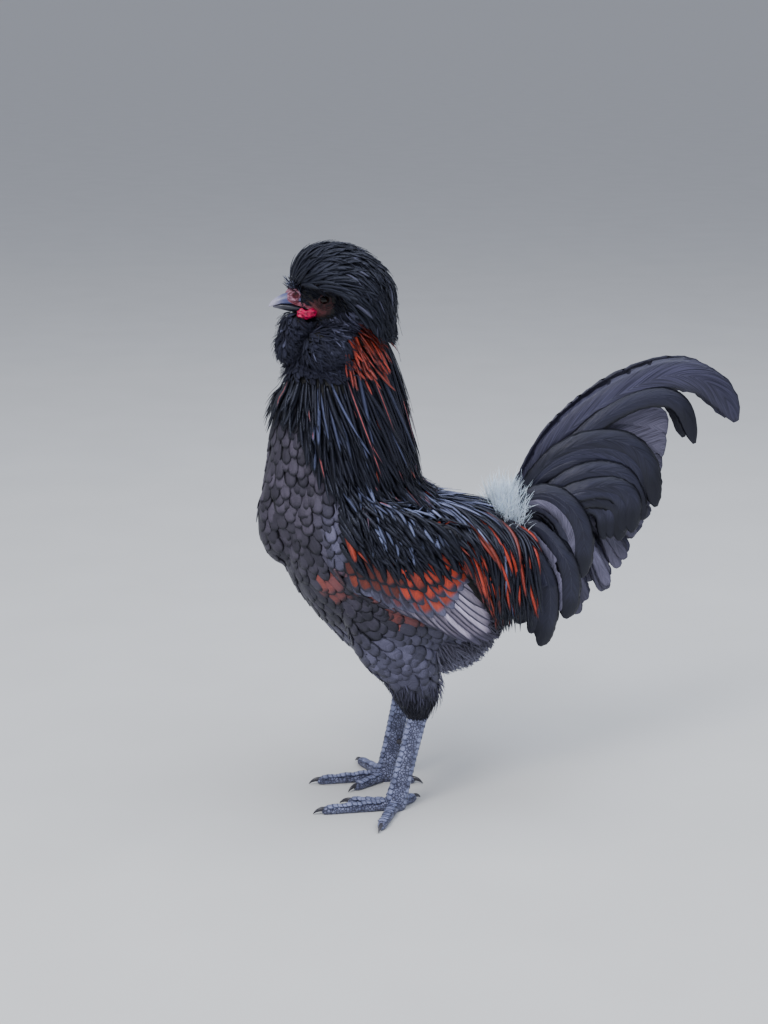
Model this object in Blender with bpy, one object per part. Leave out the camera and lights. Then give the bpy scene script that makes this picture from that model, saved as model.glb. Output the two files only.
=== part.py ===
"""A crested and bearded cockerel that stands alert, at life size, as a still model.

Metres, +Z up. The bird faces -Y and its left side is +X. It is laid out with the middle between
its feet at the origin and the soles at z = 0, and moved at the end so that the origin is the
bottom centre of its bounding box. Every piece is worked out by a shape function that can also be
grown by a gap, so that a neighbour is cut clear of it and the two meet face to face.
"""

import math
import random

import bmesh
import bpy
import numpy as np
from mathutils import Matrix, Vector
from mathutils.bvhtree import BVHTree

# Driving dimensions
GAP = 0.0003
FINE_STEPS = 12
DOME_ANGLES = {1: (45,), 2: (62, 31)}
SMOOTH_ANGLE = math.radians(42)
LEFT, RIGHT = 1, -1
SIDE_NAMES = {LEFT: "left", RIGHT: "right"}
ALONG = (0.0, 1.0, 0.0)

# The body along its length: y, middle height, half width, half height
TORSO_STATIONS = (
    (-0.090, 0.250, 0.026, 0.042),
    (-0.078, 0.250, 0.042, 0.066),
    (-0.055, 0.244, 0.054, 0.090),
    (-0.020, 0.220, 0.060, 0.099),
    (0.020, 0.196, 0.060, 0.085),
    (0.052, 0.184, 0.057, 0.073),
    (0.074, 0.181, 0.047, 0.060),
    (0.088, 0.187, 0.032, 0.045),
    (0.095, 0.193, 0.016, 0.025),
)
# The neck from the body up: y, z, half width, half depth
NECK_CORE = (
    (-0.036, 0.270, 0.047, 0.052),
    (-0.045, 0.310, 0.043, 0.055),
    (-0.045, 0.350, 0.036, 0.0465),
    (-0.044, 0.385, 0.028, 0.035),
    (-0.046, 0.405, 0.020, 0.026),
)
# Hackle tiers from the lowest up: root height, the tips' height over the cape's edge, count, lift, width
HACKLE_TIERS = (
    (0.322, 0.000, 14, 0.0036, 0.0190),
    (0.350, 0.024, 13, 0.0072, 0.0170),
    (0.380, 0.050, 11, 0.0108, 0.0150),
)
# The cape's lower edge by the angle round the neck from the front: degrees, height
CAPE_EDGE = ((0, 0.305), (40, 0.298), (60, 0.270), (90, 0.214), (125, 0.214), (150, 0.232), (180, 0.262))
# How steeply hackles run to the rear by the same angle
CAPE_LIE = ((0, -0.15), (60, 0.05), (90, 0.20), (120, 0.32), (150, 0.38), (180, 0.35))
# The head from its back to the root of the bill: y, z, half width, half height
HEAD_STATIONS = (
    (-0.034, 0.4235, 0.0145, 0.0175),
    (-0.049, 0.4255, 0.0166, 0.0190),
    (-0.061, 0.4278, 0.0138, 0.0156),
    (-0.069, 0.4292, 0.0100, 0.0104),
)
EYE_CENTRE = (0.0114, -0.057, 0.4330)
EYE_RADIUS = 0.0048
LID_RADIUS = 0.0011
BILL_UPPER = (
    (-0.066, 0.4335, 0.0086, 0.0058),
    (-0.078, 0.4335, 0.0079, 0.0053),
    (-0.088, 0.4325, 0.0056, 0.0045),
    (-0.096, 0.4303, 0.0030, 0.0030),
    (-0.0995, 0.4275, 0.0012, 0.0015),
)
BILL_LOWER = (
    (-0.066, 0.4240, 0.0074, 0.0030),
    (-0.078, 0.4241, 0.0066, 0.0029),
    (-0.087, 0.4247, 0.0044, 0.0024),
    (-0.093, 0.4253, 0.0018, 0.0014),
)
GAPE = (0.0112, -0.0725, 0.4272)
GAPE_SIZE = (0.0022, 0.0055, 0.0006)
NOSTRIL_BULB = (0.0046, -0.0795, 0.4372)
NOSTRIL_SIZE = (0.0024, 0.0038, 0.0021)
NOSTRIL_PIT = (0.0066, -0.0805, 0.4376)
NOSTRIL_PIT_SIZE = (0.0016, 0.0019, 0.0009)
WATTLE_BULBS = (
    ((0.0100, -0.0725, 0.4175), (0.0034, 0.0056, 0.0055)),
    ((0.0112, -0.0655, 0.4150), (0.0031, 0.0046, 0.0050)),
    ((0.0094, -0.0745, 0.4215), (0.0027, 0.0042, 0.0032)),
)

CREST_CORE = ((0.0, -0.0405, 0.4520), (0.026, 0.029, 0.019))
CREST_MIDDLE = (0.0, -0.0425, 0.438)
CREST_SIZE = (0.0435, 0.0455, 0.0425)
CREST_POLE = (0.0, -0.5, 0.87)
# Crest tiers from the inside out: a vane's start as a share of its run, size and root share, count
CREST_TIERS = ((0.30, 0.88, 0.58, 10), (0.10, 1.00, 0.91, 11))
# The knob where the crest's feathers meet on top: share of the shell's height, radius
CREST_CROWN = (0.71, 0.0140)
CREST_WIDTH = 0.022
CREST_ROOT = 0.005
CREST_COVER = 0.95
# The crest's lower edge along the head: y, z
CREST_EDGE = (
    (-0.082, 0.443),
    (-0.060, 0.441),
    (-0.044, 0.430),
    (-0.031, 0.414),
    (-0.019, 0.402),
    (-0.006, 0.394),
    (0.004, 0.391),
)
BEARD_CORE = ((0.0, -0.0745, 0.3960), (0.018, 0.0125, 0.017))
# Beard tiers: root height, tip height, lift, how many
BEARD_TIERS = ((0.396, 0.367, 0.0020, 4), (0.409, 0.378, 0.0046, 3))
MUFF_CORE = ((0.0235, -0.0500, 0.3945), (0.0115, 0.0220, 0.0145))
# Muff tiers: where the locks start and end along the head, lift, how many
MUFF_TIERS = ((-0.050, -0.022, 0.0022, 3), (-0.066, -0.036, 0.0052, 3))
# How far the muffs' locks stay off the neck, over the hackle
MUFF_NECK_ROOM = 0.009
BEARD_NECK_ROOM = 0.002
BEARD_WIDTH = 0.0115

# The folded wing's middle line: y, z, half height, half thickness
WING_STATIONS = (
    (-0.056, 0.246, 0.016, 0.006),
    (-0.040, 0.238, 0.036, 0.009),
    (0.000, 0.220, 0.046, 0.010),
    (0.040, 0.200, 0.045, 0.008),
    (0.068, 0.170, 0.024, 0.004),
    (0.078, 0.156, 0.010, 0.002),
)
WING_WIDEST = 0.0650
WING_FRONT_BEND = 4.4
WING_REAR_BEND = 3.0
WING_ROUNDING = 3.5
# Wing tiers seen from the side: first and last root, the line of the tips, count, width, lift
WING_TIERS = (
    (
        ((-0.036, 0.221), (0.034, 0.216)),
        ((-0.005, 0.181), (0.030, 0.160), (0.062, 0.146), (0.083, 0.151), (0.077, 0.174)),
        7,
        0.0195,
        0.0019,
    ),
    (
        ((-0.042, 0.228), (0.034, 0.232)),
        ((-0.030, 0.198), (0.000, 0.186), (0.032, 0.172), (0.055, 0.180), (0.069, 0.196)),
        6,
        0.0195,
        0.0049,
    ),
    (
        ((-0.046, 0.240), (0.025, 0.246)),
        ((-0.040, 0.214), (-0.005, 0.204), (0.030, 0.205), (0.048, 0.222)),
        4,
        0.0190,
        0.0079,
    ),
)
WING_SHINGLE = math.radians(7)
WING_COAT = 0.0095

THIGH_STATIONS = (
    (-0.006, 0.180, 0.026, 0.046),
    (-0.003, 0.150, 0.025, 0.037),
    (0.009, 0.122, 0.020, 0.025),
    (0.0135, 0.098, 0.014, 0.0175),
    (0.0165, 0.087, 0.0100, 0.0105),
)
LEG_APART = 0.0355
# Where each foot's pad and hock are along the body
PAD_Y = {LEFT: -0.003, RIGHT: 0.004}
HOCK_Y = {LEFT: 0.0185, RIGHT: 0.0200}
HOCK_HEIGHT = 0.086
PAD_HEIGHT = 0.005
# How far each toe's end lies from the pad: outwards from the body, forwards
TOES = {
    LEFT: {
        "inner": (-0.0165, -0.0345),
        "middle": (-0.001, -0.060),
        "outer": (0.043, -0.021),
        "hind": (-0.014, 0.018),
    },
    RIGHT: {
        "inner": (-0.020, -0.0300),
        "middle": (0.001, -0.058),
        "outer": (0.041, -0.014),
        "hind": (-0.013, 0.020),
    },
}
TOE_START = 0.0065
TOE_BASE = 0.0052
TOE_END = 0.0038
SHANK_SCUTES = 8
SHANK_SCUTE_RISE = 0.0007
TOE_SCUTE_PITCH = 0.0175
TOE_SCUTE_RISE = 0.0005
CLAW_LENGTH = 0.0105
CLAW_RADIUS = 0.0024
SPUR_LENGTH = 0.006
SPUR_RADIUS = 0.0030

TAIL_ROOT = (
    (0.088, 0.212, 0.023, 0.026),
    (0.103, 0.230, 0.020, 0.022),
    (0.113, 0.250, 0.012, 0.015),
)
TAIL_FLUFF = ((0.0, 0.106, 0.262), (0.013, 0.0125, 0.024))
# Main tail feathers from the top down: the tip's y, z
MAIN_TAIL_TIPS = (
    (0.236, 0.302),
    (0.238, 0.268),
    (0.228, 0.236),
    (0.209, 0.206),
    (0.187, 0.181),
)
MAIN_TAIL_WIDTH = 0.029
# Sickles and coverts from the middle outwards: distance from the middle plane, width, segments, y and z
TAIL_ARCS = (
    (
        0.0115,
        0.026,
        7,
        (
            (0.106, 0.235),
            (0.118, 0.270),
            (0.140, 0.305),
            (0.172, 0.332),
            (0.205, 0.350),
            (0.240, 0.360),
            (0.270, 0.354),
            (0.290, 0.337),
            (0.299, 0.322),
        ),
    ),
    (
        0.0140,
        0.017,
        5,
        ((0.107, 0.232), (0.135, 0.280), (0.170, 0.318), (0.205, 0.338), (0.234, 0.342), (0.262, 0.303)),
    ),
    (
        0.0172,
        0.020,
        5,
        ((0.104, 0.240), (0.116, 0.270), (0.140, 0.296), (0.172, 0.308), (0.200, 0.302), (0.226, 0.245)),
    ),
    (
        0.0202,
        0.018,
        5,
        ((0.108, 0.232), (0.130, 0.262), (0.158, 0.280), (0.185, 0.282), (0.204, 0.270), (0.217, 0.235)),
    ),
    (
        0.0235,
        0.019,
        5,
        ((0.110, 0.228), (0.135, 0.255), (0.160, 0.267), (0.188, 0.269), (0.204, 0.257), (0.203, 0.226)),
    ),
    (
        0.0275,
        0.020,
        5,
        ((0.104, 0.246), (0.118, 0.264), (0.136, 0.264), (0.152, 0.250), (0.161, 0.228), (0.160, 0.192)),
    ),
    (
        0.0315,
        0.019,
        4,
        ((0.104, 0.240), (0.124, 0.236), (0.140, 0.218), (0.149, 0.196), (0.149, 0.172), (0.145, 0.158)),
    ),
    (
        0.0355,
        0.018,
        4,
        ((0.104, 0.232), (0.118, 0.218), (0.128, 0.196), (0.131, 0.170), (0.127, 0.148), (0.122, 0.136)),
    ),
)
TAIL_ROOT_SHARE = 0.5
# The saddle's pad along the back: y, z, half width, half height
SADDLE_PAD = (
    (0.064, 0.2135, 0.0420, 0.0455),
    (0.076, 0.2120, 0.0400, 0.0410),
    (0.088, 0.2120, 0.0320, 0.0330),
)
# The arched surface that the saddle's locks lie on: y, half width, middle height, half height of the arch
SADDLE_ARCH = (
    (0.050, 0.0690, 0.202, 0.0600),
    (0.075, 0.0600, 0.202, 0.0530),
    (0.100, 0.0490, 0.202, 0.0420),
    (0.130, 0.0440, 0.202, 0.0350),
)
SADDLE_DOME = 0.25
# Saddle tiers from the inside out: the roots' distance from the middle line, tip height, lift
SADDLE_TIERS = ((0.038, 0.150, 0.0010), (0.015, 0.168, 0.0058))
SADDLE_LOCKS = 3
# The first and the last lock of a tier: the root's y, and its slant to the rear in degrees
SADDLE_ROOTS = (0.065, 0.085)
SADDLE_SLANT = (3, 18)
# How far every second lock of a tier is raised over its neighbours
SADDLE_SHINGLE = 0.0015
# How far to the rear the last lock's tip lies from its root
SADDLE_LAG = 0.035
SADDLE_WIDTH = 0.0165

VANE_THICKNESS = 0.0007
ROOT_SINK = 0.0028
WALK_STEP = 0.004
LONGEST_LOCK = 0.135
SEED = 11
# Outlines as share of length and share of width
FEATHER_OUTLINE = ((0, 0.45), (0.3, 0.95), (0.6, 1.0), (0.85, 0.85), (1, 0.30))
CREST_OUTLINE = ((0, 0.8), (0.3, 0.95), (0.6, 1.0), (0.85, 0.80), (1, 0.25))
HACKLE_OUTLINE = ((0, 0.60), (0.35, 1.0), (0.7, 0.80), (1, 0.14))
SICKLE_OUTLINE = ((0, 0.45), (0.25, 0.90), (0.6, 1.0), (0.85, 0.85), (1, 0.22))


def smooth_path(rows, count):
    """count + 1 even samples of the smooth curve through the rows, further columns carried along."""
    rows = np.array(rows, float)
    ends = np.vstack([2 * rows[0] - rows[1], rows, 2 * rows[-1] - rows[-2]])
    fine = []
    for i in range(len(rows) - 1):
        a, b, c, d = ends[i : i + 4]
        for t in np.arange(FINE_STEPS) / FINE_STEPS:
            bend = (2 * a - 5 * b + 4 * c - d) + t * (3 * b - a - 3 * c + d)
            fine.append(b + 0.5 * t * ((c - a) + t * bend))
    fine.append(rows[-1])
    fine = np.array(fine)
    steps = np.linalg.norm(np.diff(fine[:, :3], axis=0), axis=1)
    run = np.concatenate([[0], np.cumsum(steps)])
    at = np.linspace(0, run[-1], count + 1)
    return np.stack([np.interp(at, run, column) for column in fine.T], axis=1)


def units(rows):
    return rows / np.linalg.norm(rows, axis=-1, keepdims=True)


def loft(
    stations, sides, rings=None, side=(1, 0, 0), floor=None, domes=2, heading=None, dome_depth=1.0
):
    """A closed body of elliptic sections with domed ends, each of one or two rings and a pole.

    A station is x, y, z, half width along side and half depth across it. Without rings the stations
    are the sections themselves. With a floor the underside is a flat at that height. With a heading
    every section faces that way.
    """
    rows = smooth_path(stations, rings) if rings else np.array(stations, float)
    turn = (np.arange(sides) + 0.5) * 2 * math.pi / sides

    def shape(grow=0.0):
        centres = rows[:, :3]
        along = np.tile(heading, (len(rows), 1)) if heading else units(np.gradient(centres, axis=0))
        across = units(side - along * (along @ np.array(side, float))[:, None])
        third = np.cross(along, across)
        sections = []
        for end, out in ((0, -1), (len(rows) - 1, 1)):
            depth = rows[end, 3:].min() * dome_depth + grow
            angles = DOME_ANGLES[domes] if out < 0 else DOME_ANGLES[domes][::-1]
            for angle in map(math.radians, angles):
                middle = centres[end] + along[end] * out * depth * math.sin(angle)
                sections.append((middle, end, math.cos(angle)))
        middle_rings = [(centres[k], k, 1.0) for k in range(len(rows))]
        sections[domes:domes] = middle_rings
        points = []
        for middle, k, share in sections:
            half_width = (rows[k, 3] + grow) * share
            half_depth = (rows[k, 4] + grow) * share
            ring = np.outer(np.cos(turn), across[k]) * half_width
            ring += np.outer(np.sin(turn), third[k]) * half_depth
            points.extend(middle + ring)
        first = centres[0] - along[0] * (rows[0, 3:].min() * dome_depth + grow)
        last = centres[-1] + along[-1] * (rows[-1, 3:].min() * dome_depth + grow)
        points.extend([first, last])
        points = np.array(points)
        if floor is not None:
            points[:, 2] = np.maximum(points[:, 2], floor - grow)
        faces = []
        count = len(sections)
        for j in range(sides):
            k = (j + 1) % sides
            faces.append((count * sides, k, j))
            faces.append((count * sides + 1, (count - 1) * sides + j, (count - 1) * sides + k))
            for r in range(count - 1):
                low, high = r * sides, (r + 1) * sides
                faces.append((low + j, low + k, high + k, high + j))
        return points, faces

    return shape


def ball(centre, radii, around=12, rings=8):
    """An ellipsoid."""

    def shape(grow=0.0):
        cage = bmesh.new()
        bmesh.ops.create_uvsphere(cage, u_segments=around, v_segments=rings, radius=1)
        size = Matrix.Diagonal([r + grow for r in radii]).to_4x4()
        bmesh.ops.transform(cage, matrix=Matrix.Translation(centre) @ size, verts=cage.verts)
        points = np.array([v.co[:] for v in cage.verts])
        faces = [tuple(v.index for v in f.verts) for f in cage.faces]
        cage.free()
        return points, faces

    return shape


def along_body(stations):
    """Stations of y, z, half width, half height as rows of x, y, z, half width, half depth."""
    return [(0.0, y, z, wide, high) for y, z, wide, high in stations]


def mirrored(point, side):
    return (point[0] * side, point[1], point[2])


def new_object(name, points, faces, collection):
    """A mesh object with its faces turned outwards, linked to the collection."""
    mesh = bpy.data.meshes.new(name)
    mesh.from_pydata([tuple(p) for p in points], [], faces)
    cage = bmesh.new()
    cage.from_mesh(mesh)
    bmesh.ops.recalc_face_normals(cage, faces=cage.faces)
    bmesh.ops.triangulate(cage, faces=[f for f in cage.faces if len(f.verts) > 3])
    cage.to_mesh(mesh)
    cage.free()
    piece = bpy.data.objects.new(name, mesh)
    collection.objects.link(piece)
    return piece


def combine(piece, shapes, grow, operation):
    """One Boolean of the piece with a collection of closed shapes, applied."""
    others = bpy.data.collections.new("joined_pieces")
    bpy.context.scene.collection.children.link(others)
    for i, shape in enumerate(shapes):
        new_object(f"piece_{i}", *shape(grow), others)
    join = piece.modifiers.new("join", "BOOLEAN")
    join.operation = operation
    join.operand_type = "COLLECTION"
    join.collection = others
    join.solver = "MANIFOLD"
    graph = bpy.context.evaluated_depsgraph_get()
    mesh = bpy.data.meshes.new_from_object(piece.evaluated_get(graph))
    piece.modifiers.clear()
    piece.data = mesh
    for other in list(others.objects):
        bpy.data.objects.remove(other)
    bpy.data.collections.remove(others)


def shells_of(cage):
    """The faces of each closed surface in the mesh."""
    left = set(cage.faces)
    while left:
        start = left.pop()
        shell = [start]
        for face in shell:
            for edge in face.edges:
                for near in edge.link_faces:
                    if near in left:
                        left.remove(near)
                        shell.append(near)
        yield shell


def volume_of(shell):
    volume = 0.0
    for face in shell:
        corners = [v.co for v in face.verts]
        for b, c in zip(corners[1:], corners[2:]):
            volume += corners[0].dot(b.cross(c)) / 6
    return volume


def keep_largest(piece):
    """Leaves only the largest closed surface, which drops loose scraps and sealed hollows."""
    cage = bmesh.new()
    cage.from_mesh(piece.data)
    shells = sorted(shells_of(cage), key=volume_of, reverse=True)
    for scrap in shells[1:]:
        bmesh.ops.delete(cage, geom=scrap, context="FACES")
    bmesh.ops.triangulate(cage, faces=[f for f in cage.faces if len(f.verts) > 3])
    cage.to_mesh(piece.data)
    cage.free()


def vane(path, facings, widths):
    """A thin flat blade along the path, split into triangles alike on both faces."""
    path = np.array(path, float)
    facings = np.array(facings, float)
    halves = np.array(widths, float)[:, None] / 2
    shares = np.linspace(0, 1, len(path))
    thick = np.interp(shares, (0, 0.7, 1), (1, 1, 0.6))[:, None] * VANE_THICKNESS / 2

    def shape(grow=0.0):
        along = units(np.gradient(path, axis=0))
        centres = path.copy()
        centres[0] -= along[0] * grow
        centres[-1] += along[-1] * grow
        facing = units(facings - along * (facings * along).sum(axis=1)[:, None])
        wide = np.cross(along, facing) * (halves + grow)
        deep = facing * (thick + grow)
        upper = (centres - wide + deep, centres + wide + deep)
        lower = (centres + wide - deep, centres - wide - deep)
        points = np.stack(upper + lower, axis=1).reshape(-1, 3)
        faces = [(0, 3, 2), (0, 2, 1)]
        for a in range(0, len(points) - 4, 4):
            e = a + 4
            faces += [(a, a + 1, e + 1), (a, e + 1, e), (a + 3, e + 2, a + 2), (a + 3, e + 3, e + 2)]
            faces += [(a + 1, a + 2, e + 2), (a + 1, e + 2, e + 1), (a, e, e + 3), (a, e + 3, a + 3)]
        last = len(points) - 4
        faces += [(last, last + 1, last + 2), (last, last + 2, last + 3)]
        return points, faces

    return shape


def outline(profile, segments, width):
    """The widths along a blade with this outline."""
    at, share = zip(*profile)
    return np.interp(np.linspace(0, 1, segments + 1), at, share) * width


def tree_of(points, faces):
    return BVHTree.FromPolygons([Vector(p) for p in points], faces)


class Lie:
    """The surface that a coat lies on: closed shapes, where the one that stands out furthest counts."""

    def __init__(self, grown_shapes):
        self.trees = [tree_of(*shape(grow)) for shape, grow in grown_shapes]

    def above(self, point):
        """The point's height over the surface, the surface point below it and the way out."""
        best = None
        for tree in self.trees:
            spot, normal, _, _ = tree.find_nearest(point)
            offset = point - spot
            height = math.copysign(offset.length, offset.dot(normal))
            if best is None or height < best[0]:
                out = offset * math.copysign(1, height) if offset.length > GAP else normal
                best = (height, spot, out.normalized())
        return best


def draped(lie, root, flow, stop, lift, segments, hug=0.6):
    """Path and facings of a lock that grows out of the surface and lies along the flow, lift above it."""
    _, spot, out = lie.above(Vector(root))
    rows = [[*(spot - out * ROOT_SINK), *out]]
    point = spot
    heading = None
    for k in range(1, int(LONGEST_LOCK / WALK_STEP)):
        wanted = Vector(flow(point)).normalized()
        wanted = (wanted - out * wanted.dot(out)).normalized()
        heading = wanted if heading is None else heading.lerp(wanted, 0.4)
        heading = (heading - out * heading.dot(out)).normalized()
        point = point + heading * WALK_STEP
        height, spot, out = lie.above(point)
        rise = lift * min(1.0, k / 3)
        if height < rise:
            point = spot + out * rise
        else:
            point = point - out * (height - rise) * hug
        rows.append([*point, *out])
        if stop(point):
            break
    rows = smooth_path(rows, segments)
    return rows[:, :3], rows[:, 3:]


def make_node(name, shapes, material, collection, pits=()):
    """One closed body: the first shape with the others joined to it, then the pits cut out."""
    piece = new_object(name, *shapes[0](), collection)
    if len(shapes) > 1:
        combine(piece, shapes[1:], 0.0, "UNION")
    if pits:
        combine(piece, pits, 0.0, "DIFFERENCE")
    piece.data.materials.append(material)
    keep_largest(piece)
    return piece


def cut_clear(piece, shapes):
    """Cuts the piece clear of the shapes of earlier nodes that it runs into, by the gap."""
    corners = np.array([v.co[:] for v in piece.data.vertices])
    low, high = corners.min(axis=0), corners.max(axis=0)
    tree = tree_of(corners, [tuple(f.vertices) for f in piece.data.polygons])
    close = []
    for shape in shapes:
        points, faces = shape(GAP)
        apart = (points.max(axis=0) < low).any() or (points.min(axis=0) > high).any()
        if not apart and tree.overlap(tree_of(points, faces)):
            close.append(shape)
    if close:
        combine(piece, close, GAP, "DIFFERENCE")
        keep_largest(piece)


def material(name, colour, roughness, metallic=0.0):
    made = bpy.data.materials.new(name)
    made.use_nodes = True
    surface = made.node_tree.nodes["Principled BSDF"]
    surface.inputs["Base Color"].default_value = (*colour, 1)
    surface.inputs["Roughness"].default_value = roughness
    surface.inputs["Metallic"].default_value = metallic
    return made


def torso_core():
    return loft(along_body(TORSO_STATIONS), 16, 9, heading=ALONG, domes=1)


def torso():
    return [torso_core()]


def neck_core():
    return loft(along_body(NECK_CORE), 12, 5, domes=1)


def neck():
    """The neck's core and the hackle, tiers of pointed locks that fall as a cape over the shoulders."""
    core = neck_core()
    lie = Lie([(core, 0), (torso_core(), 0), (wing_core(LEFT), WING_COAT), (wing_core(RIGHT), WING_COAT)])
    draw = random.Random(SEED)
    shapes = [core]
    for root_height, above_edge, count, lift, width in HACKLE_TIERS:
        for i in range(count):
            spin = 360 * (i + draw.uniform(-0.15, 0.15)) / count
            from_front = min(spin, 360 - spin)
            edge = np.interp(from_front, *zip(*CAPE_EDGE)) + above_edge * min(1, from_front / 60 + 0.2)
            height = root_height - 0.012 * math.cos(math.radians(spin)) * (root_height > 0.37)
            if height - edge < 0.03:
                continue
            rows = sorted(NECK_CORE, key=lambda row: row[1])
            y, z, wide, deep = zip(*rows)
            y, wide, deep = [np.interp(height, z, column) for column in (y, wide, deep)]
            turn = math.radians(spin)
            root = (math.sin(turn) * wide, y - math.cos(turn) * deep, height)
            rear = np.interp(from_front, *zip(*CAPE_LIE))
            tip = edge + draw.uniform(-0.004, 0.004)
            path, facings = draped(
                lie,
                root,
                lambda point: (0, rear, -1),
                lambda point: point.z < tip,
                lift,
                4 if height - edge > 0.06 else 3,
            )
            shapes.append(vane(path, facings, outline(HACKLE_OUTLINE, len(path) - 1, width)))
    return shapes


def lid(side, first, last):
    """One eyelid, a thin roll round part of the eye."""
    path = []
    for angle in np.radians(np.linspace(first, last, 5)):
        y = EYE_CENTRE[1] + (EYE_RADIUS + 0.0004) * math.cos(angle)
        z = EYE_CENTRE[2] + EYE_RADIUS * math.sin(angle)
        path.append((side * (EYE_CENTRE[0] + 0.0032), y, z, LID_RADIUS, LID_RADIUS))
    return loft(path, 4, 3, domes=1)


def head():
    shapes = [loft(along_body(HEAD_STATIONS), 12, 4, domes=1)]
    for side in (LEFT, RIGHT):
        shapes.append(lid(side, 8, 172))
        shapes.append(lid(side, 188, 352))
    return shapes


def gape():
    """The line of the mouth where it runs on from the bill into the cheek."""
    return [ball(mirrored(GAPE, side), GAPE_SIZE, 6, 4) for side in (LEFT, RIGHT)]


def bill_upper():
    shapes = [loft(along_body(BILL_UPPER), 8, 5, domes=1)]
    for side in (LEFT, RIGHT):
        shapes.append(ball(mirrored(NOSTRIL_BULB, side), NOSTRIL_SIZE, 6, 4))
    return shapes


def nostril_pits():
    return [ball(mirrored(NOSTRIL_PIT, side), NOSTRIL_PIT_SIZE, 6, 4) for side in (LEFT, RIGHT)]


def bill_lower():
    return [loft(along_body(BILL_LOWER), 8, 4, domes=1)]


def eye(side):
    return [ball(mirrored(EYE_CENTRE, side), [EYE_RADIUS] * 3, 8, 6)]


def wattle(side):
    return [ball(mirrored(middle, side), size, 8, 4) for middle, size in WATTLE_BULBS]


def shell_line(middle, size, pole, spin, angle, share):
    """A point and its facing on an ellipsoid shell at this angle from the pole."""
    pole = units(np.array(pole, float))
    first = units(np.cross(pole, (1.0, 0.0, 0.0)))
    second = np.cross(pole, first)
    way = pole * math.cos(angle) + (first * math.cos(spin) + second * math.sin(spin)) * math.sin(angle)
    if way[2] < 0:
        way[:2] = units(way[:2])
    point = np.array(middle) + np.array(size) * way * share
    return point, units(way / np.array(size))


def crest():
    """The crest's core and its feathers, which rise from the front of the crown and fall to all sides."""
    draw = random.Random(SEED + 1)
    shell = (CREST_MIDDLE, CREST_SIZE, CREST_POLE)
    crown = np.array(CREST_MIDDLE) + units(np.array(CREST_POLE)) * CREST_SIZE[2] * CREST_CROWN[0]
    shapes = [ball(*CREST_CORE, 12, 8), ball(tuple(crown), [CREST_CROWN[1]] * 3, 10, 6)]
    for start, share, root_share, count in CREST_TIERS:
        for i in range(count):
            spin = 2 * math.pi * (i + draw.uniform(-0.15, 0.15)) / count
            last = math.radians(40)
            point = shell_line(*shell, spin, last, share)[0]
            while point[2] > np.interp(point[1], *zip(*CREST_EDGE)) and last < math.radians(150):
                last += math.radians(3)
                point = shell_line(*shell, spin, last, share)[0]
            segments = 3 if last < math.radians(95) else 4
            path, facings = [], []
            for t in np.linspace(0, 1, segments + 1):
                rise = np.interp(t, (0, 0.25, 1), (root_share, 0.98 * share, share))
                reach = rise + draw.uniform(-0.005, 0.005)
                angle = last * (start + (1 - start) * t)
                point, facing = shell_line(*shell, spin, angle, reach)
                path.append(point)
                facings.append(facing)
            angles = last * np.linspace(start, 1, segments + 1)
            room = CREST_SIZE[0] * np.sin(angles) * share * 2 * math.pi / count * CREST_COVER
            room = np.maximum(room, CREST_ROOT)
            widths = np.minimum(outline(CREST_OUTLINE, segments, CREST_WIDTH), room)
            shapes.append(vane(path, facings, widths))
    return shapes


def beard():
    """The beard's core and the tufts that hang from under the bill."""
    draw = random.Random(SEED + 2)
    core = ball(*BEARD_CORE, 10, 6)
    lie = Lie([(core, 0), (neck_core(), BEARD_NECK_ROOM)])
    (_, y, _), (wide, deep, _) = BEARD_CORE
    shapes = [core]
    for root_height, tip_height, lift, count in BEARD_TIERS:
        for i in range(count):
            spin = math.radians(-75 + 150 * i / (count - 1) + draw.uniform(-6, 6))
            root = (math.sin(spin) * wide, y - math.cos(spin) * deep, root_height)
            tip = tip_height + draw.uniform(-0.002, 0.003)
            path, facings = draped(
                lie, root, lambda point: (0, 0.1, -1), lambda point: point.z < tip, lift, 3
            )
            shapes.append(vane(path, facings, outline(FEATHER_OUTLINE, 3, BEARD_WIDTH)))
    return shapes


def muff(side):
    """One muff's core and the tufts that sweep back over the cheek."""
    draw = random.Random(SEED + 3)
    middle, (wide, _, tall) = MUFF_CORE
    core = ball(mirrored(middle, side), MUFF_CORE[1], 10, 6)
    lie = Lie([(core, 0), (neck_core(), MUFF_NECK_ROOM)])
    shapes = [core]
    for root_y, tip_y, lift, count in MUFF_TIERS:
        for i in range(count):
            turn = math.radians(-75 + 150 * i / (count - 1) + draw.uniform(-6, 6))
            root = (side * (middle[0] + math.cos(turn) * wide), root_y, middle[2] + math.sin(turn) * tall)
            tip = tip_y + draw.uniform(-0.003, 0.003)
            path, facings = draped(
                lie, root, lambda point: (0, 1, -0.35), lambda point: point.y > tip, lift, 3
            )
            shapes.append(vane(path, facings, outline(FEATHER_OUTLINE, 3, BEARD_WIDTH)))
    return shapes


def wing_side(y):
    """How far out the folded wing's outer face lies at this place along the body."""
    bend = WING_FRONT_BEND if y < 0 else WING_REAR_BEND
    return WING_WIDEST - bend * y * y


def wing_core(side):
    rows = []
    for y, z, high, thick in WING_STATIONS:
        rows.append((side * (wing_side(y) - thick), y, z, thick, high))
    return loft(rows, 10, 6, domes=1)


def wing_face(y, z, lift):
    """Where the folded wing's outer face lies, lifted, and which way it faces."""
    middle = np.interp(y, [row[0] for row in WING_STATIONS], [row[1] for row in WING_STATIONS])
    bend = WING_FRONT_BEND if y < 0 else WING_REAR_BEND
    x = wing_side(y) - WING_ROUNDING * (z - middle) ** 2 + lift
    return x, (1.0, 2 * bend * y, 2 * WING_ROUNDING * (z - middle))


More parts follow.
